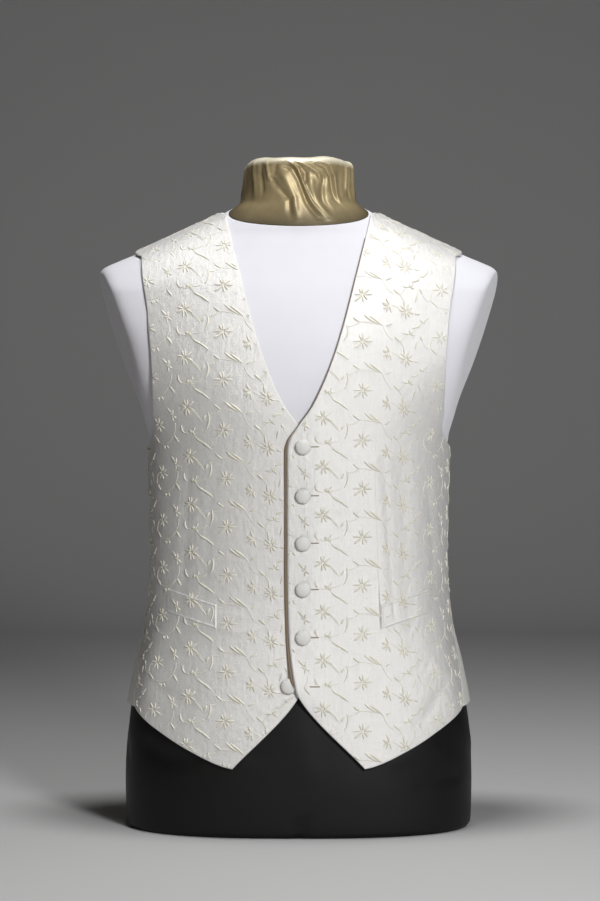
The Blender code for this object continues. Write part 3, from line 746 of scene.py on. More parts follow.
# Stems: four points each
STEMS = (
    ((101.5, 37.5), (99, 36), (96, 36.6), (92, 38)),
    ((92, 38), (89, 39.5), (88, 40.5), (86, 41.2)),
    ((87, 41), (82, 42.6), (77, 40.6), (71, 39.4)),
    ((61, 36.8), (59, 32), (55, 22.5), (48.5, 20.4)),
    ((51, 7.5), (46, 6), (42, 1), (35, 1)),
    ((125, 43.5), (117, 41), (113, 36), (108.6, 28.5)),
    ((124.5, 42.0), (118, 40), (114, 34), (111.5, 31.0)),
    ((130.5, 17.2), (127, 15.2), (124, 15.5), (121, 16.5)),
    ((121, 16.0), (119, 14.2), (118, 12.8), (116, 11)),
    ((107.4, 20.8), (110, 17.5), (115, 17.5), (121, 17)),
    ((173, 7), (167, 3), (155, 4), (148, 14)),
    ((148, 14), (145, 19), (143, 23), (144, 28)),
    ((178, 25), (182, 20), (183, 16), (181, 12.5)),
    ((41.5, 18.8), (39.6, 16.5), (38.4, 15), (37.4, 13.2)),
    ((41.0, 19.2), (38, 23), (36, 26.4), (31, 27.8)),
    ((28.0, 34.3), (24, 36), (20, 37), (17.5, 39.8)),
    ((15.0, 19.8), (14.5, 15.8), (12, 11.8), (5.0, 12.5)),
)
# For each front: the height where the cloth's up measure starts, which way the repeat runs outwards, and
# how far it is set in towards the centre front and down. Both fronts are cut from one cloth facing the same
# way, so the repeat runs towards the wearer's right on both, outwards on the right front and inwards on the
# left one.
PATTERN = {"left": (0.3859, -1, -0.1535, 0.0233), "right": (0.3734, 1, 0.0, 0.0)}
# Where up the cloth the pattern starts to climb more, by how much, and over what length each rise is spread
PATTERN_CLIMB = ((0.05, 0.003), (0.15, 0.0035))
PATTERN_RUN = 0.10
# How far the right front's pattern leans in towards the centre front where the waist is drawn in
BOW_COLUMNS = ("height", "inward")
BOW = (
    (0.06, 0.0005),
    (0.12, 0.0018),
    (0.18, 0.0038),
    (0.25, 0.0048),
    (0.33, 0.0042),
    (0.40, 0.0024),
    (0.46, 0.0000),
    (0.72, 0.0000),
)
# Petals and stems in millimetres, then in metres how deep the threads' undersides lie in the cloth
PETAL_START = 1.2
PETAL_HALF_WIDTH = 1.18
STEM_HALF_WIDTH = 0.50
STEM_RISE = 0.55
SINK = 0.00035
# Points along a leaf and a stem, and the places of each ring's points round the thread
LEAF_STEPS = 9
STEM_STEPS = 13
RING_DEGREES = (0, 45, 90, 135, 180, 270)
# How far the embroidery keeps from the edges, the middles of the buttons and the edge of the lap
EDGE_MARGIN = 0.0016
BUTTON_CLEARANCE = 0.0100
LAP_CLEARANCE = 0.0022
# Heights between which the left front covers the right one, and where the embroidery lies flatter: from
# this height up and from this far round, by these shares
LAPPED = (0.150, 0.452)
FLAT_UP = (0.595, 0.55)
FLAT_ROUND = (0.125, 0.35)
FLAT_RUN = 0.03

# A panel's slight unevenness: seeds of its waves, the body's radius, and the waves' sizes and rise
PANEL_SEEDS = {"front_left": 3, "front_right": 4, "back_left": 5, "back_right": 6}
PANEL_RADIUS = 0.15
PANEL_WAVES = (0.011, 0.017, 0.029)
PANEL_UNEVENNESS = 0.00035

# How widely the edges roll: free edges, seams, and the left front's edge where it laps over the right front
EDGE_ROLL = 0.0013
SEAM_ROLL = 0.0008
LAP_ROLL = 0.0027
LAP_ROLL_ENDS = (0.158, 0.450)

# The darts: where they start round from the centre front, how they lean, and their low and high ends up the
# cloth
DART = (0.0850, -0.037, -0.165, 0.036)
DART_HALF_WIDTH = 0.0009
# Up the cloth, below this the dart and its painted shade are full; above it they fade
DART_FULL_BELOW = -0.105

# The left front's lining, rolled out a little along its edge and dark enough to stand in for the lap's
# shadow as well: half width, half thickness, and how far out it lies
EDGING_HALF_WIDTH = 0.0014
EDGING_HALF_THICKNESS = 0.0010
EDGING_OUT = 0.0008
EDGING_BELOW = 0.0013
# Heights of its ends, where it is full, where it thins, what it loses there, and the body's radius near the
# opening
EDGING_ENDS = (0.158, 0.66)
EDGING_FULL = 0.162
EDGING_THIN = 0.425
EDGING_LOSS = 0.66
OPENING_RADIUS = 0.125

# Buttonholes: each one's start, end and height, from under its button out to the wearer's left. The lowest
# is undone.
HOLES = (*((0.003, 0.0225, height) for height in BUTTON_HEIGHTS), (0.0120, 0.0235, 0.1655))
HOLE_HALF_WIDTH = 0.0009
HOLE_RISE = 0.0006


def ring_normals(points):
    """Unit normals of rings of points: the cross product of the steps round and the steps up."""
    padded = np.concatenate([points[:, -1:], points, points[:, :1]], axis=1)
    normal = np.cross(padded[:, 2:] - padded[:, :-2], np.gradient(points, axis=0))
    return normal / np.maximum(np.linalg.norm(normal, axis=-1, keepdims=True), 1e-12)


def crease_relief(angle, height, creases, radius):
    """The sum of all creases: rise x exp(-(distance / half width)^2), less near both ends of each line.

    The distance is measured on the cloth, to the nearest point of the crease's own line.
    """
    place = np.stack([angle * radius, np.broadcast_to(height, angle.shape)], axis=-1)
    relief = np.zeros(angle.shape)
    turn = 2 * math.pi * radius
    for line, widths, rise in creases:
        knots = np.array([(math.radians(a) * radius, h / 1000) for a, h in line])
        middle = knots[:, 0].mean()
        here = place.copy()
        here[..., 0] = (here[..., 0] - middle + turn / 2) % turn - turn / 2 + middle
        best = np.full(angle.shape, np.inf)
        along = np.zeros(angle.shape)
        count = len(knots) - 1
        for number, (first, last) in enumerate(zip(knots, knots[1:])):
            run = last - first
            t = np.clip(((here - first) @ run) / (run @ run), 0, 1)
            off = np.linalg.norm(here - first - t[..., None] * run, axis=-1)
            along = np.where(off < best, (number + t) / count, along)
            best = np.minimum(best, off)
        first_width, last_width = (value / 10000 for value in widths)
        width = first_width + (last_width - first_width) * along
        ends = soft_step(along * 5) * soft_step((1 - along) * 5)
        relief += rise / 10000 * np.exp(-((best / width) ** 2)) * (0.15 + 0.85 * ends)
    return relief


def wander(angle, height, seed, radius, sizes, rise):
    """Gentle unevenness: sines of several sizes and directions, whose sum stays within the rise."""
    draw = np.random.default_rng(seed)
    total = np.zeros(np.broadcast(angle, height).shape)
    around = np.maximum(1, np.round(radius / np.array(sizes)))
    for size, turns in zip(sizes, around):
        for _ in range(3):
            way, phase = draw.uniform(-1, 1), draw.uniform(0, 2 * math.pi)
            total = total + np.sin(turns * angle + way * height / size + phase) * size
    return rise * total / (3 * sum(sizes))


def blocks(count):
    """Numbers from 0 to count in blocks that fit in memory."""
    return np.array_split(np.arange(count), max(1, count // BLOCK))


def off_outline(outline, places):
    """How far each place is from a closed outline, and the corner where its nearest edge starts."""
    run = np.roll(outline, -1, axis=0) - outline
    distance = np.zeros(len(places))
    number = np.zeros(len(places), int)
    for part in blocks(len(places)):
        away = places[part, None] - outline
        share = np.clip((away * run).sum(-1) / np.maximum((run * run).sum(-1), 1e-12), 0, 1)
        off = np.linalg.norm(away - share[..., None] * run, axis=-1)
        distance[part] = off.min(axis=1)
        number[part] = off.argmin(axis=1)
    return distance, number


def edge_roll(outline, places):
    """How far the cloth falls at its rolled edge: R - sqrt(R^2 - (R - d)^2) at a distance d under R."""
    corners, radius = outline
    off, nearest = off_outline(corners, places.reshape(-1, 2))
    bend = radius[nearest]
    short = np.clip(bend - off, 0, bend)
    return (bend - np.sqrt(np.maximum(bend**2 - short**2, 0))).reshape(places.shape[:-1])


def panel_relief(side, angle, height):
    """What a front or back panel adds to its ease: creases, dart and a slight unevenness."""
    own = angle if side.endswith("left") else -angle
    table = FRONT_CREASES if side.startswith("front") else BACK_CREASES
    relief = crease_relief(own, height, table[side.split("_")[1]], PANEL_RADIUS)
    relief = relief + wander(own, height, PANEL_SEEDS[side], PANEL_RADIUS, PANEL_WAVES, PANEL_UNEVENNESS)
    outline = OUTLINES.get(side)
    if outline is None:
        return relief
    return relief - edge_roll(outline, to_cloth(CHARTS[side[6:]], own, height))


def outer_face(side, angle, height, above=0.0):
    """Points of a panel's outer face, raised by a further distance."""
    lift = lap_lift(angle, height) if side == "front_left" else 0.0
    return cloth_point(angle, height, WALL + lift + panel_relief(side, angle, height) + above)


def grid_faces(rows, columns_, around):
    """Four corners of each face of a grid, anticlockwise as seen from outside."""
    across = columns_ if around else columns_ - 1
    row, column = np.meshgrid(np.arange(rows - 1), np.arange(across), indexing="ij")
    after = (column + 1) % columns_
    low, high = row * columns_, (row + 1) * columns_
    return np.stack([low + column, low + after, high + after, high + column], axis=-1).reshape(-1, 4)


def grid_mesh(name, points, chart, closed=False):
    """A mesh through rows of points, the chart its UV map. A closed one joins round and ends in points."""
    rows, count = points.shape[:2]
    quads = grid_faces(rows, count, closed)
    vertices = [points.reshape(-1, 3)]
    faces_across = count if closed else count - 1
    row = np.arange(rows - 1).repeat(faces_across)
    column = np.tile(np.arange(faces_across), rows - 1)
    corners = [(row, column), (row, column + 1), (row + 1, column + 1), (row + 1, column)]
    uv = [np.stack([chart[r, c] for r, c in corners], axis=1).reshape(-1, 2)]
    faces = quads.tolist()
    extra = rows * count
    for ring in (rows - 1, 0) if closed else ():
        vertices.append(points[ring].mean(axis=0, keepdims=True))
        here = np.arange(count)
        after = (here + 1) % count
        pole = np.full(count, extra)
        order = (here, after, pole) if ring else (after, here, pole)
        offset = ring * count
        triangle = np.stack([order[0] + offset, order[1] + offset, pole], axis=1)
        faces += triangle.tolist()
        flat = points[ring][:, :2]
        middle = flat.mean(axis=0)
        middle = np.broadcast_to(middle, flat.shape)
        uv.append(np.stack([flat[order[0]], flat[order[1]], middle], axis=1).reshape(-1, 2))
        extra += 1
    return make_mesh(name, np.concatenate(vertices), faces, np.concatenate(uv))


def make_mesh(name, vertices, faces, uv=None):
    mesh = bpy.data.meshes.new(name)
    mesh.from_pydata(vertices, [], faces)
    if uv is not None:
        layer = mesh.uv_layers.new(name="cloth")
        layer.data.foreach_set("uv", uv.astype(np.float32).ravel())
    mesh.validate()
    mesh.shade_smooth()
    return mesh


def tube_mesh(name, points):
    """A mesh through rings of points, closed at both ends."""
    return grid_mesh(name, points, chart_of(points, True), closed=True)


def chart_of(points, around=False):
    """A UV chart in metres: the length round each row, and the length up the middle column."""
    closed = np.concatenate([points, points[:, :1]], axis=1) if around else points
    across = np.concatenate(
        [np.zeros((len(points), 1)), np.linalg.norm(np.diff(closed, axis=1), axis=-1).cumsum(axis=1)], axis=1
    )
    across = across - across[:, :1]
    if around:
        across = across / across[:, -1:] * across[:, -1:].max()
    up = np.concatenate(
        [np.zeros((1, closed.shape[1])), np.linalg.norm(np.diff(closed, axis=0), axis=-1).cumsum(axis=0)]
    )
    return np.stack([across, up], axis=-1)


def placed(name, data):
    """A new object in the scene."""
    made = bpy.data.objects.new(name, data)
    bpy.context.scene.collection.objects.link(made)
    return made


def add_piece(name, mesh, look, nodes=()):
    """A finished piece in the scene, riding on the form and standing for its nodes."""
    piece = placed(name, mesh)
    piece.data.materials.clear()
    piece.data.materials.append(look)
    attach(piece, BODY_NAME)
    if nodes:
        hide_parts(*nodes)
    return piece


def give_wall(piece, thickness):
    """Solidify for the cloth's thickness, inwards from its outer face."""
    wall = piece.modifiers.new("wall", "SOLIDIFY")
    wall.thickness = thickness
    wall.offset = -1
    return piece


class Value:
    """A node's output in an expression: each operator adds the Math node that it stands for."""

    def __init__(self, look, socket):
        self.look = look
        self.socket = socket

    def math(self, operation, *values):
        return self.look.node("ShaderNodeMath", {"operation": operation}, dict(enumerate(values)))

    def __add__(self, other):
        return self.math("ADD", self, other)

    def __sub__(self, other):
        return self.math("SUBTRACT", self, other)

    def __rsub__(self, other):
        return self.math("SUBTRACT", other, self)

    def __mul__(self, other):
        return self.math("MULTIPLY", self, other)

    def __pow__(self, other):
        return self.math("POWER", self, other)

    __radd__ = __add__
    __rmul__ = __mul__

    def size(self):
        return self.math("ABSOLUTE", self)

    def sine(self):
        return self.math("SINE", self)

    def least(self, other):
        return self.math("MINIMUM", self, other)

    def most(self, other):
        return self.math("MAXIMUM", self, other)

    def clipped(self, low=0.0):
        return self.most(low).least(1.0)


class Look:
    """A material and its nodes. Any node comes from one method: its settings first, then its inputs."""

    def __init__(self, name, **constants):
        self.material = bpy.data.materials.new(name)
        self.material.use_nodes = True
        self.tree = self.material.node_tree
        self.shader = self.tree.nodes["Principled BSDF"]
        for key, value in constants.items():
            self.shader.inputs[key.replace("_", " ").title().replace("Ior", "IOR")].default_value = value

    def node(self, kind, settings=None, inputs=None, output=0):
        made = self.tree.nodes.new(kind)
        for key, value in (settings or {}).items():
            if key == "stops":
                self.set_stops(made.color_ramp, value)
            else:
                setattr(made, key, value)
        for key, value in (inputs or {}).items():
            self.feed(made.inputs[key], value)
        return Value(self, made.outputs[output])

    def set_stops(self, ramp, stops):
        while len(ramp.elements) < len(stops):
            ramp.elements.new(0.5)
        for element, (place, colour) in zip(ramp.elements, stops):
            element.position = place
            element.color = colour

    def feed(self, socket, value):
        if isinstance(value, Value):
            self.tree.links.new(value.socket, socket)
        else:
            socket.default_value = value

    def coordinates(self, source="UV"):
        return self.node("ShaderNodeTexCoord", output={"Object": 3, "UV": 2}[source])

    def scaled(self, vector, scale):
        return self.node("ShaderNodeMapping", inputs={"Vector": vector, "Scale": scale})

    def parts(self, vector):
        split = self.tree.nodes.new("ShaderNodeSeparateXYZ")
        self.tree.links.new(vector.socket, split.inputs[0])
        return [Value(self, socket) for socket in split.outputs]

    def noise(self, vector, scale, detail=2.0, roughness=0.5):
        inputs = {"Vector": vector, "Scale": scale, "Detail": detail, "Roughness": roughness}
        return self.node("ShaderNodeTexNoise", inputs=inputs)

    def threads(self, vector, scale, detail=2.0, roughness=0.5):
        """Noise drawn out along one way, as slubs and threads are."""
        return self.noise(self.scaled(vector, scale), 1.0, detail, roughness)

    def mix(self, factor, first, second):
        return self.node("ShaderNodeMix", {"data_type": "RGBA"}, {0: factor, 6: first, 7: second}, output=2)

    def shades(self, factor, colour, low, high=1.0):
        """A colour between two shares of itself."""
        return self.mix(factor, tinted(colour, low), tinted(colour, high))

    def ramp(self, factor, stops):
        return self.node("ShaderNodeValToRGB", {"stops": stops}, {0: factor})

    def bump(self, height, distance, strength=1.0, under=None):
        inputs = {"Height": height, "Distance": distance, "Strength": strength}
        if under is not None:
            inputs["Normal"] = under
        return self.node("ShaderNodeBump", inputs=inputs)

    def finish(self, colour, roughness, normal):
        self.feed(self.shader.inputs["Base Color"], colour)
        self.feed(self.shader.inputs["Roughness"], roughness)
        self.feed(self.shader.inputs["Normal"], normal)
        return self.material


def rgba(colour):
    return (*colour, 1.0)


def tinted(colour, share):
    return rgba([channel * share for channel in colour])


def weave_height(look, chart, pitch):
    """A plain weave: threads across and along, each a sine of the cloth's own measures."""
    across, up, _ = look.parts(chart)
    rate = 2 * math.pi / pitch
    return ((across * rate).sine() * (up * rate).sine()) * 0.5 + 0.5


def dupion_looks(colours):
    """The fronts' silk: the left front's dart is creased, and the right front's is pressed flat, with painted
    shade in each crease.
    """
    dupion_look(colours, "ivory_dupion_silk", 0.12)
    dupion_look(colours, "ivory_dupion_silk_left", 1.0)


def dupion_look(colours, name, dart_depth):
    """Ivory dupion silk: upright slubs, fine weave, small puckers, the dart with painted shade, and a broad
    sheen.

    The dart is where |s - (start + lean x t)| is under its half width, between its two ends up the cloth.
    """
    look = Look(name, specular_ior_level=0.45, metallic=0.34, sheen_weight=0.10, sheen_roughness=0.35)
    chart = look.coordinates()
    slub = look.threads(chart, (1300, 46, 1), 3.0, 0.6)
    broad_slub = look.threads(chart, (380, 22, 1), 2.0, 0.5)
    cross_slub = look.threads(chart, (40, 900, 1), 3.0, 0.6)
    pucker = look.threads(chart, (170, 105, 1), 2.0, 0.45)
    cloud = look.noise(chart, 22.0, 3.0, 0.55)
    streak = slub * 0.42 + broad_slub * 0.28 + cross_slub * 0.30
    across, up, _ = look.parts(chart)
    start, lean, low, high = DART
    off = (across - (up * lean + start)).size()
    ends = ((up - low) * 60.0).least((high - up) * 60.0).clipped()
    # dart_fullness: the dart and the painted shade in it are full low on the cloth, and fade to 0.3 above
    # DART_FULL_BELOW
    dart_fullness = ((DART_FULL_BELOW - up) * 25.0 + 0.3).clipped(0.3)
    dart = (1.0 - off * (1 / DART_HALF_WIDTH)).most(0.0) * ends * dart_fullness * dart_depth
    colour = look.shades((streak * 1.9 - 0.45 + (cloud - 0.5) * 0.5).clipped(), colours.silk, 0.84)
    # painted shade: the silk darkens along the dart, where shade falls in its crease
    colour = look.mix(dart * 0.5, colour, tinted(colours.silk, 0.45))
    roughness = 0.46 + (cloud - 0.5) * 0.14 + (streak - 0.5) * 0.22
    fine = look.bump(streak * 0.8 + weave_height(look, chart, 0.0005) * 0.2 - dart * 1.5, 0.0005, 0.8)
    return look.finish(colour, roughness, look.bump(pucker, 0.0011, 0.55, fine))


def thread_look(colours):
    """Embroidery thread laid side by side across each leaf, petal and stem."""
    name = "cream_embroidery_thread"
    look = Look(name, specular_ior_level=0.5, metallic=0.18, sheen_weight=0.15, sheen_roughness=0.3)
    chart = look.coordinates()
    across, along, _ = look.parts(chart)
    place = look.coordinates("Object")
    lay = (along * (2 * math.pi / 0.00042) + across * 900.0).sine() * 0.5 + 0.5
    tone = look.noise(place, 60.0, 2.0, 0.5)
    colour = look.shades(lay * 0.35 + tone * 0.65, colours.thread, 0.84)
    return look.finish(colour, 0.38 + tone * 0.14, look.bump(lay, 0.00012, 0.6))


def satin_look(colours):
    """Ivory satin: long floats make it smooth along the warp, with faint upright lines."""
    look = Look("ivory_back_satin", specular_ior_level=0.5, sheen_weight=0.12)
    chart = look.coordinates()
    thread = look.threads(chart, (2600, 60, 1), 2.0, 0.5)
    cloud = look.noise(chart, 14.0, 3.0, 0.5)
    colour = look.shades(cloud * 0.6 + thread * 0.4, colours.satin, 0.9)
    return look.finish(colour, 0.27 + cloud * 0.12, look.bump(thread, 0.0001, 0.35))


def button_look(colours):
    """The waistcoat's silk drawn over a button: its weave fans out, and painted shade darkens it towards the
    rim.
    """
    look = Look("button_silk_cover", specular_ior_level=0.45, sheen_weight=0.15)
    chart = look.coordinates()
    place = look.coordinates("Object")
    slub = look.threads(place, (1400, 60, 90), 3.0, 0.6)
    cloud = look.noise(place, 130.0, 2.0, 0.5)
    _, outward, _ = look.parts(chart)
    # painted shade: the cover darkens towards its rim, where the dome turns away from the light
    rim = (outward * (1 / BUTTON_RADIUS)) ** 6.0
    shade = slub * 0.6 + cloud * 0.4 - rim.least(1.0) * 0.5
    colour = look.shades(shade, colours.button, 0.78)
    return look.finish(colour, 0.46 + cloud * 0.14, look.bump(slub * 0.6 + cloud * 0.4, 0.0006, 0.8))


def jersey_look(colours):
    """White jersey: rows of tiny knitted loops, matt, with a faint soft fuzz."""
    look = Look("white_form_jersey", specular_ior_level=0.25, sheen_weight=0.3, sheen_roughness=0.6)
    chart = look.coordinates()
    across, up, _ = look.parts(chart)
    wale = (across * (2 * math.pi / 0.0011)).sine()
    course = (up * (2 * math.pi / 0.0008) + wale * 1.2).sine()
    loops = (wale * 0.5 + course * 0.5) * 0.5 + 0.5
    cloud = look.noise(chart, 18.0, 3.0, 0.5)
    colour = look.shades(loops * 0.3 + cloud * 0.7, colours.jersey, 0.93)
    return look.finish(colour, 0.78 + cloud * 0.1, look.bump(loops, 0.00015, 0.5))


def gold_look(colours):
    """Old-gold silk satin: soft sheen, fine warp lines, painted shade low on the brim, a painted highlight on
    the rim.
    """
    look = Look("old_gold_silk_satin", specular_ior_level=0.50, metallic=0.34, sheen_weight=0.0)
    chart = look.coordinates()
    _, up, _ = look.parts(chart)
    _, _, height = look.parts(look.coordinates("Object"))
    thread = look.threads(chart, (2400, 70, 1), 3.0, 0.55)
    cloud = look.noise(chart, 40.0, 3.0, 0.55)
    stops = ((0.3, tinted(colours.gold, 0.62)), (0.55, rgba(colours.gold)), (0.8, tinted(colours.gold, 1.25)))
    colour = look.ramp(thread * 0.5 + cloud * 0.5, stops)
    # painted shade: the cloth darkens to 0.26 of its colour towards the bottom of the brim
    brim_painted_shade = (1.0 - up * NECK_BRIM_SHADE).clipped()
    colour = look.mix(brim_painted_shade, colour, tinted(colours.gold, 0.26))
    # painted highlight: the top rim is painted pale cream, standing in for the top light on its roll
    rim = ((height - NECK_RIM_HIGHLIGHT) * 130.0 + cloud * 0.6 - 0.3).clipped()
    colour = look.mix(rim, colour, rgba(colours.gold_rim_highlight))
    return look.finish(colour, 0.38 + cloud * 0.12, look.bump(thread, 0.00012, 0.4))


def black_look(colours):
    """Black satin: a very dark ground with a broad soft gloss and fine warp lines."""
    look = Look("black_form_satin", specular_ior_level=0.28, sheen_weight=0.0)
    chart = look.coordinates()
    thread = look.threads(chart, (2200, 50, 1), 3.0, 0.55)
    cloud = look.noise(chart, 12.0, 3.0, 0.6)
    colour = look.shades(thread * 0.5 + cloud * 0.5, colours.black, 0.6, 1.4)
    return look.finish(colour, 0.42 + cloud * 0.16, look.bump(thread, 0.0001, 0.35))


def buttonhole_look(colours):
    """Buttonhole stitch: twisted thread over the slit's edges, with painted shade in the slit."""
    look = Look("buttonhole_thread", specular_ior_level=0.4, sheen_weight=0.15)
    chart = look.coordinates()
    across, along, _ = look.parts(chart)
    stitch = (along * (2 * math.pi / 0.0007)).sine() * 0.5 + 0.5
    off = across.size()
    # painted shade: the slit's middle is darkened to 0.18 of the thread's colour
    slit = ((off - 0.00016) * 5000.0).clipped()
    tone = look.shades(stitch, colours.buttonhole, 0.7)
    colour = look.mix(slit, tinted(colours.buttonhole, 0.18), tone)
    return look.finish(colour, 0.5 + stitch * 0.1, look.bump(stitch, 0.0002, 0.6))


def lining_and_shadow_look(colours):
    """The tan lining's rolled edge, also painted shadow of the lap: fine threads across it, and a soft dull
    sheen.
    """
    look = Look("tan_lining_and_lap_shadow", specular_ior_level=0.35, sheen_weight=0.1)
    chart = look.coordinates()
    thread = look.threads(chart, (300, 1500, 1), 2.0, 0.5)
    cloud = look.noise(chart, 60.0, 2.0, 0.5)
    colour = look.shades(thread * 0.5 + cloud * 0.5, colours.lining, 0.7)
    return look.finish(colour, 0.5 + cloud * 0.1, look.bump(thread, 0.0001, 0.4))


def studio_look(name, colour, roughness):
    look = Look(name, specular_ior_level=0.2)
    place = look.coordinates("Object")
    cloud = look.noise(place, 1.4, 2.0, 0.5)
    shade = look.shades(cloud, colour, 0.97)
    return look.finish(shade, roughness + cloud * 0.05, look.bump(cloud, 0.0005, 0.1))


def make_chart(side):
    """Tables between the cloth's own measures and the body's.

    s runs round the cloth from the centre front and t up it, from the height where the pattern starts.
    """
    sign = 1 if side == "left" else -1
    angle = np.radians(np.arange(*CHART_ANGLES))
    height = np.arange(*CHART_HEIGHTS)
    around, up = np.meshgrid(angle, height)
    face = cloth_point(sign * around, up, WALL)
    length = np.linalg.norm(np.diff(face, axis=1), axis=-1).cumsum(axis=1)
    length = np.concatenate([np.zeros((len(height), 1)), length], axis=1)
    front = np.array([np.interp(0.0, angle, row) for row in length])
    length = length - front[:, None]
    s_steps = np.arange(*CHART_ROUND)
    angle_at = np.stack([np.interp(s_steps, row, angle) for row in length])
    path = cloth_point(sign * angle_at, np.broadcast_to(height[:, None], angle_at.shape), WALL)
    climb = np.linalg.norm(np.diff(path, axis=0), axis=-1).cumsum(axis=0)
    climb = np.concatenate([np.zeros((1, len(s_steps))), climb])
    start = PATTERN[side][0]
    climb = climb - np.array([np.interp(start, height, column) for column in climb.T])
    t_steps = np.arange(*CHART_UP)
    height_at = np.stack([np.interp(t_steps, column, height) for column in climb.T], axis=1)
    turned = np.stack(
        [np.interp(height_at[:, i], height, angle_at[:, i]) for i in range(len(s_steps))], axis=1
    )
    return {
        "angle": angle, "height": height, "length": length, "climb": climb, "s": s_steps, "t": t_steps,
        "angle_at": turned, "height_at": height_at,
    }


def bilinear(table, rows, columns_, row, column):
    """A table's values between its rows and columns, both evenly spaced."""
    down = np.clip((row - rows[0]) / (rows[1] - rows[0]), 0, len(rows) - 1.001)
    over = np.clip((column - columns_[0]) / (columns_[1] - columns_[0]), 0, len(columns_) - 1.001)
    i, j = down.astype(int), over.astype(int)
    a, b = down - i, over - j
    low = table[i, j] * (1 - b) + table[i, j + 1] * b
    high = table[i + 1, j] * (1 - b) + table[i + 1, j + 1] * b
    return low * (1 - a) + high * a


def to_cloth(chart, angle, height):
    """Where a place of the body lies in the cloth's own measures."""
    s = bilinear(chart["length"], chart["height"], chart["angle"], height, angle)
    t = bilinear(chart["climb"], chart["height"], chart["s"], height, s)
    return np.stack([s, t], axis=-1)


def to_body(chart, s, t):
    """The angle and height of a place in the cloth's own measures."""
    angle = bilinear(chart["angle_at"], chart["t"], chart["s"], t, s)
    return angle, bilinear(chart["height_at"], chart["t"], chart["s"], t, s)


def inside(outline, places, margin):
    """Which places lie inside an outline by more than the margin: crossings along +s, then distances."""
    last = np.roll(outline, -1, axis=0)
    run = last - outline
    flat = places.reshape(-1, 2)
    odd = np.zeros(len(flat), bool)
    for part in blocks(len(flat)):
        here = flat[part, None]
        cross = (outline[:, 1] > here[..., 1]) != (last[:, 1] > here[..., 1])
        slope = np.where(cross, run[:, 1], 1.0)
        at = outline[:, 0] + (here[..., 1] - outline[:, 1]) / slope * run[:, 0]
        odd[part] = (cross & (at > here[..., 0])).sum(axis=1) % 2 == 1
    return (odd & (off_outline(outline, flat)[0] > margin)).reshape(places.shape[:-1])


def leaf_paths(starts, heading, length, bend, steps):
    """Centre lines that turn evenly by bend: the running sum of short steps at the turning heading."""
    share = np.linspace(0, 1, steps)
    way = heading[:, None] + bend[:, None] * share
    step = np.stack([np.cos(way), np.sin(way)], axis=-1)
    middle = (step[:, 1:] + step[:, :-1]) / 2 * (length / (steps - 1))[:, None, None]
    run = np.concatenate([np.zeros((len(heading), 1, 2)), middle.cumsum(axis=1)], axis=1)
    return starts[:, None] + run


def pattern_motifs():
    """One repeat's leaves and petals, their half widths, and its stems, in millimetres."""
    rows = [dict(zip(LEAF_COLUMNS, row)) for row in LEAVES]
    stars = [(*star, star[4] + 360 * (star[2] - 1) / star[2]) for star in STARS]
    draw = np.random.default_rng(11)
    for across, up, count, reach, low, high in [*stars, FAN]:
        for heading in np.linspace(low, high, count):
            heading = heading + draw.uniform(-5, 5)
            turn = math.radians(heading)
            rows.append({
                "across": across + PETAL_START * math.cos(turn),
                "up": up + PETAL_START * math.sin(turn),
                "heading": heading,
                "length": reach * draw.uniform(0.78, 1.06) - PETAL_START,
                "bend": draw.uniform(-24, 24),
                "half_width": PETAL_HALF_WIDTH * draw.uniform(0.9, 1.12),
            })
    table = {key: np.array([row[key] for row in rows], float) for key in LEAF_COLUMNS}
    starts = np.stack([table["across"], table["up"]], axis=1)
    leaves = leaf_paths(
        starts, np.radians(table["heading"]), table["length"], np.radians(table["bend"]), LEAF_STEPS
    )
    return leaves, table["half_width"], stem_paths()


def stem_paths():
    """Cubic curves through each stem's four points."""
    t = np.linspace(0, 1, STEM_STEPS)[None, :, None]
    a, b, c, d = [np.array(STEMS, float)[:, i, None] for i in range(4)]
    return (1 - t) ** 3 * a + 3 * (1 - t) ** 2 * t * b + 3 * (1 - t) * t * t * c + t**3 * d


def repeated(paths, side):
    """The paths of one repeat, in metres, at every place of the pattern that a front reaches."""
    _, way, inward, down = PATTERN[side]
    across = np.arange(-1, 3)
    up = np.arange(-7, 8)
    i, j = np.meshgrid(across, up)
    offset = np.stack([i.ravel() * REPEAT[0], j.ravel() * REPEAT[1]], axis=1)
    all_paths = (paths * (way, 1))[None] + offset[:, None, None]
    all_paths = all_paths.reshape(-1, *paths.shape[1:]) / 1000
    all_paths -= (inward, down)
    return all_paths, len(offset)


def settled(side, paths):
    """The repeat as it lies: it climbs a little up the chest, and the right front's bows in at the waist."""
    moved = paths.copy()
    up = paths[..., 1]
    moved[..., 1] += sum(rise * soft_step((up - start) / PATTERN_RUN) for start, rise in PATTERN_CLIMB)
    if side == "right":
        table = columns(BOW_COLUMNS, BOW)
        height = to_body(CHARTS[side], paths[..., 0], paths[..., 1])[1]
        moved[..., 0] -= smooth_curve(table["height"], table["inward"], height)
    return moved


def trimmed(paths, keep):
    """Each path cut to its longest run inside, and the shares of the whole path at its new ends."""
    steps = paths.shape[1]
    share = np.linspace(0, 1, steps)
    run = np.zeros(keep.shape, int)
    run[:, 0] = keep[:, 0]
    for step in range(1, steps):
        run[:, step] = np.where(keep[:, step], run[:, step - 1] + 1, 0)
    last = run.argmax(axis=1)
    most = run.max(axis=1)
    found = most >= max(3, steps // 3)
    first = last - most + 1
    low, high = share[first], share[last]
    at = low[:, None] + (high - low)[:, None] * share
    place = np.clip(at * (steps - 1), 0, steps - 1.001)
    index = place.astype(int)
    part = (place - index)[..., None]
    rows = np.arange(len(paths))[:, None]
    cut = paths[rows, index] * (1 - part) + paths[rows, index + 1] * part
    return cut[found], at[found], found


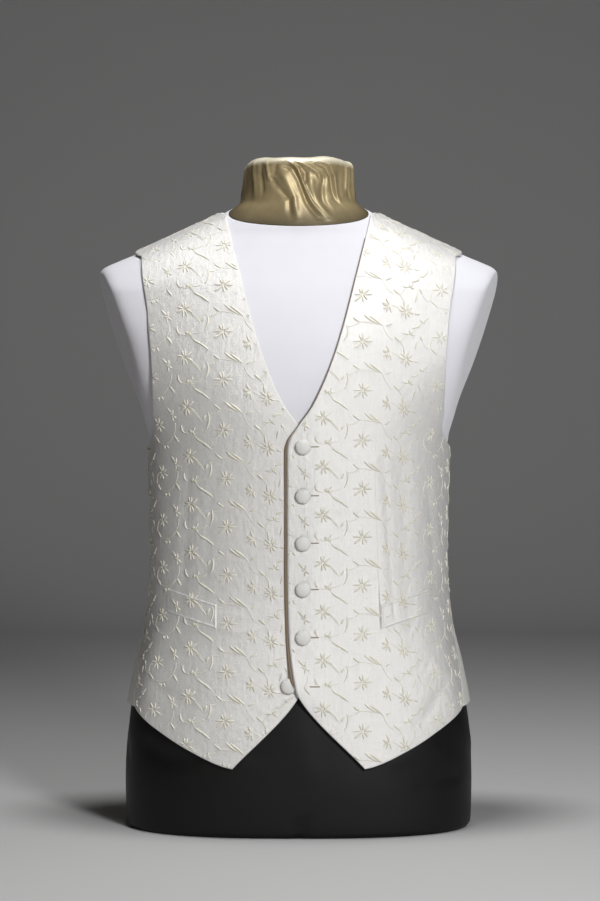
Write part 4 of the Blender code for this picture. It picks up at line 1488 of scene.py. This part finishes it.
def raised_threads(paths, half_width, rise):
    """Closed rounded ribbons about centre lines: rings of half width x cos and rise x sin, ended by points.

    Returns the places as s, t and height above the cloth, the faces, and each place's across and along.
    """
    count, steps = paths.shape[:2]
    tangent = np.gradient(paths, axis=1)
    tangent /= np.maximum(np.linalg.norm(tangent, axis=-1, keepdims=True), 1e-9)
    side = np.stack([-tangent[..., 1], tangent[..., 0]], axis=-1)
    turn = np.radians(RING_DEGREES)
    across = np.cos(turn)[None, None] * half_width[..., None]
    above = np.maximum(np.sin(turn), 0) * rise[..., None] - SINK * (np.sin(turn) <= 0.01)
    ring = paths[:, :, None] + side[:, :, None] * across[..., None]
    ring = np.concatenate([ring, above[..., None]], axis=-1)
    poles = np.concatenate([paths[:, [0, -1]], np.full((count, 2, 1), -SINK / 2)], axis=-1)
    around = len(turn)
    each = steps * around + 2
    vertices = np.concatenate([ring.reshape(count, -1, 3), poles], axis=1)
    quads = grid_faces(steps, around, True)
    here = np.arange(around)
    after = (here + 1) % around
    start = np.stack([after, here, np.full(around, each - 2)], axis=1)
    last_ring = around * (steps - 1)
    end = np.stack([here + last_ring, after + last_ring, np.full(around, each - 1)], axis=1)
    along = np.concatenate(
        [np.zeros((count, 1)), np.linalg.norm(np.diff(paths, axis=1), axis=-1).cumsum(axis=1)], axis=1
    )
    lay = np.stack([across, np.broadcast_to(along[..., None], across.shape)], axis=-1).reshape(count, -1, 2)
    pole_lay = np.stack([np.zeros((count, 2)), along[:, [0, -1]]], axis=-1)
    lay = np.concatenate([lay, pole_lay], axis=1)
    offset = (np.arange(count) * each)[:, None, None]
    all_quads = (quads + offset).reshape(-1, 4)
    all_tris = (np.concatenate([start, end]) + offset).reshape(-1, 3)
    return vertices.reshape(-1, 3), all_quads, all_tris, lay.reshape(-1, 2)


def leaf_width(share):
    """A leaf's outline along its length: quick to widen, slowly pointed at its far end."""
    return np.clip(np.sin(math.pi * np.clip(share, 0.015, 0.985) ** 0.85), 0, 1) ** 0.5


def covered_places(side, places):
    """Which places of a front are hidden by a button, a buttonhole or the other front's lap, at (s, t)."""
    chart = CHARTS[side]
    angle, height = to_body(chart, places[..., 0], places[..., 1])
    x = cloth_point(angle, height, WALL)[..., 0]
    hidden = np.zeros(x.shape, bool)
    if side == "right":
        table = columns(OPENING_COLUMNS, OPENING)
        edge_x = -smooth_curve(table["height"], table["half_width"], height)
        hidden |= (x < edge_x + LAP_CLEARANCE) & (height > LAPPED[0]) & (height < LAPPED[1])
        hidden |= np.hypot(x - UNDONE_BUTTON[0] * -1, height - UNDONE_BUTTON[1]) < BUTTON_CLEARANCE
        return hidden
    for z in BUTTON_HEIGHTS:
        hidden |= np.hypot(x - BUTTON_HALF_WIDTH, height - z) < BUTTON_CLEARANCE
    for start, end, z in HOLES:
        in_hole = (x > start) & (x < end + 0.001)
        hidden |= in_hole & (np.abs(height - z) < HOLE_HALF_WIDTH + 0.001)
    return hidden


def welt_rise(angle, height):
    """How far a welt stands above the front, with soft edges, at either side's angle."""
    x = np.abs(cloth_point(angle, height, WALL)[..., 0])
    share = (x - WELT_ENDS[0]) / (WELT_ENDS[1] - WELT_ENDS[0])
    low = WELT_LOWER[0] + (WELT_LOWER[1] - WELT_LOWER[0]) * share
    deep = np.minimum(height - low, low + WELT_HEIGHT - height)
    deep = np.minimum(deep, np.minimum(x - WELT_ENDS[0], WELT_ENDS[1] - x))
    return (WELT_FACE + 0.0001) * soft_step(deep / 0.0012 + 0.5)


def embroidery_mesh(side, size):
    """All the motifs of one front, trimmed to what shows of it and laid on its outer face."""
    chart = CHARTS[side]
    sign = 1 if side == "left" else -1
    outline = OUTLINES["front_" + side][0]
    leaves, half_width, stems = pattern_motifs()
    draw = np.random.default_rng(21 if side == "left" else 22)
    blocks = []
    for paths, width, is_leaf in ((leaves, half_width, True), (stems, None, False)):
        placed, copies = repeated(paths, side)
        placed = settled(side, placed)
        keep = inside(outline, placed, EDGE_MARGIN) & ~covered_places(side, placed)
        cut, share, found = trimmed(placed, keep)
        if is_leaf:
            full = np.tile(width, copies)[found] / 1000 * draw.uniform(0.9, 1.1, len(cut))
            widths = full[:, None] * leaf_width(share)
            rises = (size.leaf_rise * draw.uniform(0.85, 1.12, len(cut)))[:, None] * leaf_width(share) ** 0.8
        else:
            ends = np.clip(np.minimum(share, 1 - share) * 12, 0.35, 1)
            widths = STEM_HALF_WIDTH / 1000 * ends
            rises = STEM_RISE / 1000 * ends
        blocks.append(raised_threads(cut, widths, rises))
    vertices, quads, tris, lay, total = [], [], [], [], 0
    for points, four, three, along in blocks:
        vertices.append(points)
        lay.append(along)
        quads.append(four + total)
        tris.append(three + total)
        total += len(points)
    points = np.concatenate(vertices)
    angle, height = to_body(chart, points[:, 0], points[:, 1])
    angle = sign * angle
    above = points[:, 2] * (1 - FLAT_UP[1] * soft_step((height - FLAT_UP[0]) / FLAT_RUN))
    above = above * (1 - FLAT_ROUND[1] * soft_step((points[:, 0] - FLAT_ROUND[0]) / FLAT_RUN))
    above = above + welt_rise(angle, height)
    solid = outer_face("front_" + side, angle, height, above)
    quads, tris, lay = (np.concatenate(rows) for rows in (quads, tris, lay))
    return thread_mesh("embroidery_" + side, solid, quads[:, ::sign], tris[:, ::sign], lay)


def thread_mesh(name, solid, quads, tris, lay):
    """A mesh of closed threads whose faces look outwards."""
    if enclosed(solid, tris, quads) < 0:
        quads, tris = quads[:, ::-1], tris[:, ::-1]
    order = np.concatenate([quads.ravel(), tris.ravel()])
    return make_mesh(name, solid, quads.tolist() + tris.tolist(), lay[order])


def enclosed(points, tris, quads):
    """The volume that closed faces hold: a sixth of each triangle's triple product, added up."""
    split = np.concatenate([tris, quads[:, [0, 1, 2]], quads[:, [0, 2, 3]]])
    a, b, c = (points[split[:, i]] for i in range(3))
    return float((a * np.cross(b, c)).sum() / 6)


def front_outline(side):
    """A front's outline in the cloth's own measures, from the hem's point up the opening and back round.

    With each corner comes the radius of the roll of the edge that starts there.
    """
    hem, shoulder, inner, outer = (spread(line, count) for line, count in zip(front_edges(), OUTLINE_STEPS))
    inner = inner[::-1]
    loop = np.concatenate([hem, outer[1:], shoulder[::-1][1:], inner[1:-1]])
    seam_end = SIDE_SEAM[-1][0]
    side_roll = np.where(outer[1:, 2] < seam_end, SEAM_ROLL, EDGE_ROLL)
    low, high = LAP_ROLL_ENDS
    lapped = (inner[1:-1, 2] > low) & (inner[1:-1, 2] < high) & (side == "left")
    radius = np.concatenate([
        np.full(len(hem), EDGE_ROLL), side_roll, np.full(len(shoulder) - 1, SEAM_ROLL),
        np.where(lapped, LAP_ROLL, EDGE_ROLL),
    ])
    return to_cloth(CHARTS[side], angle_of(loop), loop[:, 2]), radius


CHARTS = {}
OUTLINES = {}


class WaistcoatSizes(bpy.types.PropertyGroup):
    """Sizes that a user would change."""

    wall: bpy.props.FloatProperty(
        name="Cloth thickness", description="Silk, interlining and lining together", default=WALL,
        min=0.0005, max=0.004, unit="LENGTH",
    )
    leaf_rise: bpy.props.FloatProperty(
        name="Embroidery rise", description="How far padded leaves and petals stand off the silk",
        default=0.0013, min=0.0002, max=0.003, unit="LENGTH",
    )
    camera_distance: bpy.props.FloatProperty(
        name="Camera distance", description="From the form's axis to the camera", default=2.6, unit="LENGTH",
    )
    camera_height: bpy.props.FloatProperty(
        name="Camera height", description="Height of the level camera", default=0.4235, unit="LENGTH",
    )


def colour_property(name, description, default):
    return bpy.props.FloatVectorProperty(
        name=name, description=description, default=default, size=3, min=0, max=1, subtype="COLOR"
    )


class WaistcoatColours(bpy.types.PropertyGroup):
    """Colours of the cloths and threads."""

    silk: colour_property("Silk", "Ground of the fronts and welts", (0.83, 0.82, 0.80))
    thread: colour_property("Embroidery", "Thread of the embroidery", (0.83, 0.80, 0.70))
    satin: colour_property("Satin", "The back panels", (0.83, 0.82, 0.78))
    button: colour_property("Buttons", "Silk over the buttons", (0.78, 0.77, 0.74))
    buttonhole: colour_property("Buttonholes", "Thread of the buttonholes", (0.58, 0.50, 0.39))
    # lining is partly painted shadow: its dark brown stands in for the shade along the lap's edge
    lining: colour_property("Lining", "The lining that shows along the front edge", (0.23, 0.168, 0.110))
    jersey: colour_property("Jersey", "Cover of the form's body", (0.72, 0.72, 0.77))
    gold: colour_property("Gold silk", "Cover of the form's neck", (0.39, 0.31, 0.165))
    # gold_rim_highlight is a painted highlight: its pale colour stands in for light on the cap's rolled rim
    gold_rim_highlight: colour_property("Pale gold silk", "Rim of the neck's cover, turned over", (0.88, 0.82, 0.64))
    black: colour_property("Black satin", "Cover of the form's hips", (0.0030, 0.0030, 0.0032))
    floor: colour_property("Floor", "Floor and backdrop", (0.52, 0.52, 0.52))


class MakeCloths(bpy.types.Operator):
    """Make the materials"""

    bl_idname = "waistcoat.cloths"
    bl_label = "Cloths and threads"

    def execute(self, context):
        colours = context.scene.waistcoat_colours
        for maker in (
            dupion_looks, thread_look, satin_look, button_look, jersey_look, gold_look, black_look,
            buttonhole_look, lining_and_shadow_look,
        ):
            maker(colours)
        return {"FINISHED"}


def cloth(name):
    return bpy.data.materials[name]


class MakeFronts(bpy.types.Operator):
    """Make the two fronts, cut, darted and creased"""

    bl_idname = "waistcoat.fronts"
    bl_label = "Fronts"

    def execute(self, context):
        size = context.scene.waistcoat_sizes
        left = front_patch()
        for side, angle, height in (
            ("front_left", *left), ("front_right", -left[0][:, ::-1], left[1][:, ::-1])
        ):
            points = outer_face(side, angle, height)
            own = angle if side == "front_left" else -angle
            chart = to_cloth(CHARTS[side[6:]], own, height)
            mesh = grid_mesh(side, points, chart)
            silk = cloth("ivory_dupion_silk" + ("_left" if side == "front_left" else ""))
            piece = add_piece("silk_" + side, mesh, silk, [side])
            give_wall(piece, size.wall)
        return {"FINISHED"}


class MakeBacks(bpy.types.Operator):
    """Make the two satin backs"""

    bl_idname = "waistcoat.backs"
    bl_label = "Backs"

    def execute(self, context):
        size = context.scene.waistcoat_sizes
        angle, height = back_patch()
        for side, turned, up in (
            ("back_left", angle[:, ::-1], height[:, ::-1]), ("back_right", -angle, height)
        ):
            points = outer_face(side, turned, up)
            mesh = grid_mesh(side, points, chart_of(points))
            piece = add_piece("satin_" + side, mesh, cloth("ivory_back_satin"), [side])
            give_wall(piece, size.wall)
        return {"FINISHED"}


class MakeWelts(bpy.types.Operator):
    """Make the two pocket welts"""

    bl_idname = "waistcoat.welts"
    bl_label = "Welts"

    def execute(self, context):
        angle, height = welt_patch()
        for side, turned, up in (
            ("left", angle, height), ("right", -angle[:, ::-1], height[:, ::-1])
        ):
            ridge = edge_ridge(*angle.shape)
            ridge = ridge if side == "left" else ridge[:, ::-1]
            points = outer_face("front_" + side, turned, up, ridge)
            mesh = grid_mesh("welt_" + side, points, chart_of(points))
            silk = cloth("ivory_dupion_silk")
            piece = add_piece("silk_welt_" + side, mesh, silk, ["welt_" + side])
            give_wall(piece, WELT_THICKNESS * 0.6)
            "silk_front_" + side
        return {"FINISHED"}


def edge_ridge(rows, across):
    """A welt's face above the front: flat, with a rounded ridge along its top, bottom and inner end."""
    up = np.linspace(0, 1, rows)[:, None] * WELT_HEIGHT
    over = np.linspace(0, 1, across)[None, :] * (WELT_ENDS[1] - WELT_ENDS[0])
    far = over[:, ::-1]
    near = np.minimum(np.minimum(up, WELT_HEIGHT - up), over)
    uneven = wander(over / 0.15 + up * 9, up * 1.0, 15, 0.15, (0.004, 0.007, 0.012), 1.0)
    ridge = WELT_RIDGE * (1 + 0.45 * uneven) * np.exp(-(((near - WELT_RIDGE_PLACE) / WELT_RIDGE_SPREAD) ** 2))
    shown = soft_step(far / 0.012)
    return (WELT_FACE + ridge) * soft_step(near / 0.0011) * shown - 0.0004 * (1 - shown)


class MakeEmbroidery(bpy.types.Operator):
    """Make the flower and vine embroidery of both fronts"""

    bl_idname = "waistcoat.embroidery"
    bl_label = "Embroidery"

    def execute(self, context):
        size = context.scene.waistcoat_sizes
        for side in ("left", "right"):
            add_piece(
                "embroidery_" + side, embroidery_mesh(side, size), cloth("cream_embroidery_thread"),
            )
        return {"FINISHED"}


def button_places():
    """Each button's seat and its facing, lifted over the lap where it is fastened."""
    places = [(BUTTON_HALF_WIDTH, height, True) for height in BUTTON_HEIGHTS]
    for x, height, fastened in [*places, (*UNDONE_BUTTON, False)]:
        angle = angle_seen(np.array(x), np.array(height))
        lift = lap_lift(angle, height) if fastened else 0.0
        seat = cloth_point(angle, np.array(height), np.array(WALL + SEAM_GAP + lift))
        yield seat, body_normal(angle, np.array(height))


def button_surface(number):
    """A covered button about +Z: a dome, a rolled rim with small tucks in its cover, and a hollow back.

    The outline is a quarter ellipse for the dome, then a small circle for the rim. Radius and height waver
    with the angle round the button, by tucks of a few hundredths of a millimetre.
    """
    draw = np.random.default_rng(40 + number)
    around = np.linspace(0, 2 * math.pi, 96, endpoint=False)
    dome = np.linspace(0.02, math.pi / 2, 22)
    roll = np.linspace(0, math.pi * 0.8, 12)[1:]
    radius = np.concatenate([BUTTON_RADIUS * np.sin(dome), BUTTON_RADIUS - BUTTON_ROLL * (1 - np.cos(roll))])
    domed = BUTTON_RIM + BUTTON_DOME * np.cos(dome) ** 0.9
    height = np.concatenate([domed, BUTTON_RIM - BUTTON_DEPTH * np.sin(roll / 1.6)])
    share = radius / BUTTON_RADIUS
    waver = sum(
        draw.uniform(0.3, 1.0) * np.sin(count * around + draw.uniform(0, 6.28)) for count in BUTTON_TUCKS
    )
    tuck = BUTTON_TUCK_DEPTH * waver[None] * (share[:, None] ** 5)
    ring = radius[:, None] + tuck
    x, y = ring * np.cos(around), ring * np.sin(around)
    lean = BUTTON_WARP * waver[None] * share[:, None] ** 2
    z = height[:, None] + lean
    points = np.stack([x, y, z], axis=-1)[::-1]
    outward = np.broadcast_to(radius[:, None], x.shape)
    chart = np.stack([around[None] * radius[:, None], outward], axis=-1)[::-1]
    return points, np.concatenate([chart, chart[:, :1]], axis=1)


class MakeButtons(bpy.types.Operator):
    """Make the six covered buttons"""

    bl_idname = "waistcoat.buttons"
    bl_label = "Buttons"

    def execute(self, context):
        for number, (seat, facing) in enumerate(button_places(), 1):
            points, chart = button_surface(number)
            turn = np.array(Vector(facing).to_track_quat("Z", "Y").to_matrix())
            points = points @ turn.T + seat
            mesh = grid_mesh(f"button_{number}", points, chart, closed=True)
            look = cloth("button_silk_cover")
            add_piece(f"covered_button_{number}", mesh, look, [f"button_{number}"])
        return {"FINISHED"}


class MakeButtonholes(bpy.types.Operator):
    """Make the stitched buttonholes of the left front"""

    bl_idname = "waistcoat.buttonholes"
    bl_label = "Buttonholes"

    def execute(self, context):
        blocks = []
        chart = CHARTS["left"]
        for start, end, height in HOLES:
            share = np.linspace(0, 1, 61)
            x = start + (end - start) * share
            angle = angle_seen(x, np.full(61, height))
            path = to_cloth(chart, angle, np.full(61, height))[None]
            ends = np.clip(np.minimum(share, 1 - share) * 14, 0.0, 1) ** 0.5
            width = HOLE_HALF_WIDTH * np.maximum(ends, 0.3)[None]
            rise = HOLE_RISE * (0.85 + 0.15 * np.sin(x / 0.0007 * 2 * math.pi))[None]
            blocks.append((path, width, rise * np.maximum(ends, 0.4)[None]))
        paths, widths, rises = (np.concatenate(part) for part in zip(*blocks))
        points, quads, tris, lay = raised_threads(paths, widths, rises)
        angle, height = to_body(chart, points[:, 0], points[:, 1])
        solid = outer_face("front_left", angle, height, points[:, 2])
        mesh = thread_mesh("buttonholes", solid, quads, tris, lay)
        add_piece("buttonholes", mesh, cloth("buttonhole_thread"))
        return {"FINISHED"}


def edging_mesh():
    """The left front's lining edge, dark as painted shadow of the lap too: an oval tube just beyond the
    opening's edge.

    It thins upwards along the V. Its middle lies under the front's outer face by the same depth all along.
    """
    line = spread(opening_edge(), 400)
    height = line[:, 2]
    thinned = 1 - EDGING_LOSS * soft_step((height - EDGING_THIN) / 0.02)
    share = soft_step((height - EDGING_FULL) / 0.010) * thinned
    kept = (height > EDGING_ENDS[0]) & (height < EDGING_ENDS[1])
    line, height, share = line[kept], height[kept], share[kept]
    angle = angle_of(line) - EDGING_OUT * share / OPENING_RADIUS
    below = WALL + lap_lift(angle, height) - EDGING_BELOW
    centre = cloth_point(angle, height, below)
    tangent = np.gradient(centre, axis=0)
    tangent /= np.linalg.norm(tangent, axis=1, keepdims=True)
    out = body_normal(angle, height)
    aside = np.cross(tangent, out)
    aside /= np.linalg.norm(aside, axis=1, keepdims=True)
    turn = np.linspace(0, 2 * math.pi, 12, endpoint=False)
    waver = 1 + wander(angle, height, 12, 0.15, (0.006, 0.011, 0.019), 0.25)
    wide = (EDGING_HALF_WIDTH * share * waver)[:, None, None] * np.cos(turn)[None, :, None] * aside[:, None]
    thick = (EDGING_HALF_THICKNESS * share ** 0.5)[:, None, None] * np.sin(turn)[None, :, None] * out[:, None]
    points = centre[:, None] + wide + thick
    return tube_mesh("front_edging", points)


class MakeEdging(bpy.types.Operator):
    """Make the lining's rolled edge along the left front's opening, dark as painted shadow of the lap too"""

    bl_idname = "waistcoat.edging"
    bl_label = "Lining edge"

    def execute(self, context):
        add_piece("front_edging", edging_mesh(), cloth("tan_lining_and_lap_shadow"))
        return {"FINISHED"}


def form_points(angle, height):
    """The form's surface, its arms ended by the leaning flats."""
    ring = body_point(angle, height)
    flat = ARM_FLAT_HALF_WIDTH + ARM_FLAT_LEAN * (ring[..., 2] - ARM_FLAT_HEIGHT)
    flat = flat + ARM_FLAT_TURN * ring[..., 1]
    flat = -soft_min(-flat, np.full(flat.shape, -SIDE_BELOW_ARM), ARM_FLAT_RIM)
    cut = np.sign(ring[..., 0]) * soft_min(np.abs(ring[..., 0]), flat, ARM_FLAT_RIM)
    ring[..., 0] = np.where(ring[..., 2] < ARM_FLAT_FOOT, ring[..., 0], cut)
    return ring


def neck_seam_height(angle, gap):
    """Where each column meets the leaning neck seam: the plane's height at its own depth, found in steps."""
    height = np.full(angle.shape, NECK_SEAM_POINT[2])
    for _ in range(30):
        y = body_point(angle, height)[..., 1]
        wanted = NECK_SEAM_POINT[2] + math.tan(NECK_SEAM_LEAN) * (y - NECK_SEAM_POINT[1])
        height = height + (wanted + gap - height) * 0.5
    return height


class MakeForm(bpy.types.Operator):
    """Make the form's jersey body, gold neck cap and black hips"""

    bl_idname = "waistcoat.form"
    bl_label = "Dress form"

    def execute(self, context):
        self.add_body()
        self.add_neck()
        self.add_hips()
        return {"FINISHED"}

    def add_body(self):
        columns_ = np.radians(np.arange(0, 360, BODY_MESH[0]))
        top = neck_seam_height(columns_, -SEAM_GAP)
        share = smooth_curve([0, 0.42, 0.70, 1.0], [0, 0.62, 0.84, 1.0], np.linspace(0, 1, BODY_MESH[1]))
        foot = WAIST_SEAM_HEIGHT
        height = foot + (top[None] - foot) * share[:, None]
        angle = np.broadcast_to(columns_, height.shape)
        points = form_points(angle, height)
        mesh = tube_mesh("form_body", points)
        add_piece("jersey_form_body", mesh, cloth("white_form_jersey"), ["form_body"])

    def add_neck(self):
        columns_ = np.radians(np.arange(0, 360, NECK_MESH[0]))
        low = neck_seam_height(columns_, SEAM_GAP)
        share = np.linspace(0, 1, NECK_MESH[1])[:, None]
        height = low + (NECK_TOP - low) * share
        angle = np.broadcast_to(columns_, height.shape)
        points = body_point(angle, height)
        deep = np.clip((height - (NECK_TOP - NECK_RIM)) / NECK_RIM, 0, 1)
        inward = NECK_RIM * 0.75 * (1 - np.sqrt(1 - 0.97 * deep**2))
        points = points - body_normal(angle, np.minimum(height, NECK_RIM_FOOT)) * inward[..., None]
        points[..., 2] -= (0.0026 + 0.0012 * np.sin(3 * angle + 1.9) + 0.0005 * np.sin(7 * angle)) * deep
        relief = crease_relief(angle, height, NECK_FOLDS, 0.062)
        relief = relief + wander(angle, height, 8, 0.060, (0.009, 0.014, 0.022), 0.0004)
        relief = relief * soft_step((height - low) / 0.006)
        points = points + ring_normals(points) * relief[..., None]
        lid = points[-1][None] * 1.0
        inward = np.linspace(1, 0.05, 26)[1:, None, None]
        middle = lid.mean(axis=1, keepdims=True)
        top = middle + (lid - middle) * inward
        level = lid[..., 2].mean() + 0.0006
        top[..., 2] = level + (lid[..., 2] - level) * inward[..., 0] ** 2
        points = np.concatenate([points, top])
        mesh = tube_mesh("neck_cap", points)
        add_piece("silk_neck_cap", mesh, cloth("old_gold_silk_satin"), ["neck_cap"])

    def add_hips(self):
        columns_ = np.radians(np.arange(0, 360, HIP_MESH[0]))
        share = smooth_curve([0, 0.25, 1.0], [0, 0.06, 1.0], np.linspace(0, 1, HIP_MESH[1]))
        height = (share * (WAIST_SEAM_HEIGHT - SEAM_GAP))[:, None] + np.zeros(len(columns_))
        angle = np.broadcast_to(columns_, height.shape)
        points = body_point(angle, height)
        relief = crease_relief(angle, height, HIP_CREASES, 0.165)
        relief = relief + wander(angle, height, 9, 0.165, (0.015, 0.024, 0.040), 0.0005)
        relief = relief * soft_step((WAIST_SEAM_HEIGHT - height) / 0.03)
        points = points + ring_normals(points) * relief[..., None]
        points[..., 2] = np.maximum(points[..., 2], 0.0)
        points[0, :, 2] = 0.0
        mesh = tube_mesh("hip_cover", points)
        add_piece("satin_hip_cover", mesh, cloth("black_form_satin"), ["hip_cover"])


def area_light(name, place, aim, size, power, colour):
    data = bpy.data.lights.new(name, "AREA")
    data.shape = "DISK"
    data.size = size
    data.energy = power
    data.color = colour
    lamp = placed(name, data)
    lamp.location = place
    lamp.rotation_euler = (Vector(aim) - Vector(place)).to_track_quat("-Z", "Y").to_euler()


class MakeStage(bpy.types.Operator):
    """Make the floor, backdrop, lights and camera"""

    bl_idname = "waistcoat.stage"
    bl_label = "Stage"

    def execute(self, context):
        size = context.scene.waistcoat_sizes
        colours = context.scene.waistcoat_colours
        reach = np.linspace(-4, 4, 9)
        bend = np.linspace(0, math.pi / 2, 13)
        depth = np.concatenate([[-4, -2, 0, 1.5], 2.7 + np.sin(bend), [3.7]])
        rise = np.concatenate([[0, 0, 0, 0], 1 - np.cos(bend), [4.5]])
        x, y = np.meshgrid(reach, depth)
        z = np.broadcast_to(rise[:, None], x.shape) - 0.0004
        points = np.stack([x, y, z], axis=-1)
        mesh = grid_mesh("studio_floor", points, chart_of(points))
        mesh.materials.append(studio_look("pale_floor", colours.floor, 0.8))
        floor = placed("studio_floor", mesh)
        for light in LIGHTS:
            area_light(*light)
        self.set_world(context)
        self.set_camera(context, size)
        return {"FINISHED"}

    def set_world(self, context):
        world = bpy.data.worlds.new("studio")
        world.use_nodes = True
        ground = world.node_tree.nodes["Background"]
        ground.inputs["Color"].default_value = (0.95, 0.97, 1.0, 1)
        ground.inputs["Strength"].default_value = WORLD_STRENGTH
        context.scene.world = world
        context.scene.view_settings.view_transform = "Standard"

    def set_camera(self, context, size):
        data = bpy.data.cameras.new("camera")
        data.lens = LENS
        data.sensor_width = FILM_WIDTH
        camera = placed("camera", data)
        camera.location = (CAMERA_ASIDE, -size.camera_distance, size.camera_height)
        camera.rotation_euler = (math.pi / 2, 0, 0)
        context.scene.camera = camera


class WaistcoatPanel(bpy.types.Panel):
    """Settings and steps in the 3D view's sidebar"""

    bl_idname = "VIEW3D_PT_waistcoat"
    bl_label = "Embroidered waistcoat"
    bl_space_type = "VIEW_3D"
    bl_region_type = "UI"
    bl_category = "Waistcoat"

    def draw(self, context):
        for group in (context.scene.waistcoat_sizes, context.scene.waistcoat_colours):
            box = self.layout.box()
            for name in group.__annotations__:
                box.prop(group, name)
        for step in STEPS:
            self.layout.operator(step.bl_idname)


STEPS = (
    MakeCloths, MakeForm, MakeBacks, MakeFronts, MakeEdging, MakeWelts, MakeEmbroidery, MakeButtonholes,
    MakeButtons, MakeStage,
)
CLASSES = (WaistcoatSizes, WaistcoatColours, *STEPS, WaistcoatPanel)


def register():
    for item in CLASSES:
        bpy.utils.register_class(item)
    bpy.types.Scene.waistcoat_sizes = bpy.props.PointerProperty(type=WaistcoatSizes)
    bpy.types.Scene.waistcoat_colours = bpy.props.PointerProperty(type=WaistcoatColours)


def unregister():
    del bpy.types.Scene.waistcoat_colours
    del bpy.types.Scene.waistcoat_sizes
    for item in reversed(CLASSES):
        bpy.utils.unregister_class(item)


def main():
    register()
    for side in PATTERN:
        CHARTS[side] = make_chart(side)
        OUTLINES["front_" + side] = front_outline(side)
    bpy.ops.waistcoat.cloths()
    bpy.ops.waistcoat.form()
    bpy.ops.waistcoat.backs()
    bpy.ops.waistcoat.fronts()
    bpy.ops.waistcoat.edging()
    bpy.ops.waistcoat.welts()
    bpy.ops.waistcoat.embroidery()
    bpy.ops.waistcoat.buttonholes()
    bpy.ops.waistcoat.buttons()
    bpy.ops.waistcoat.stage()


if __name__ == "__main__":
    main()
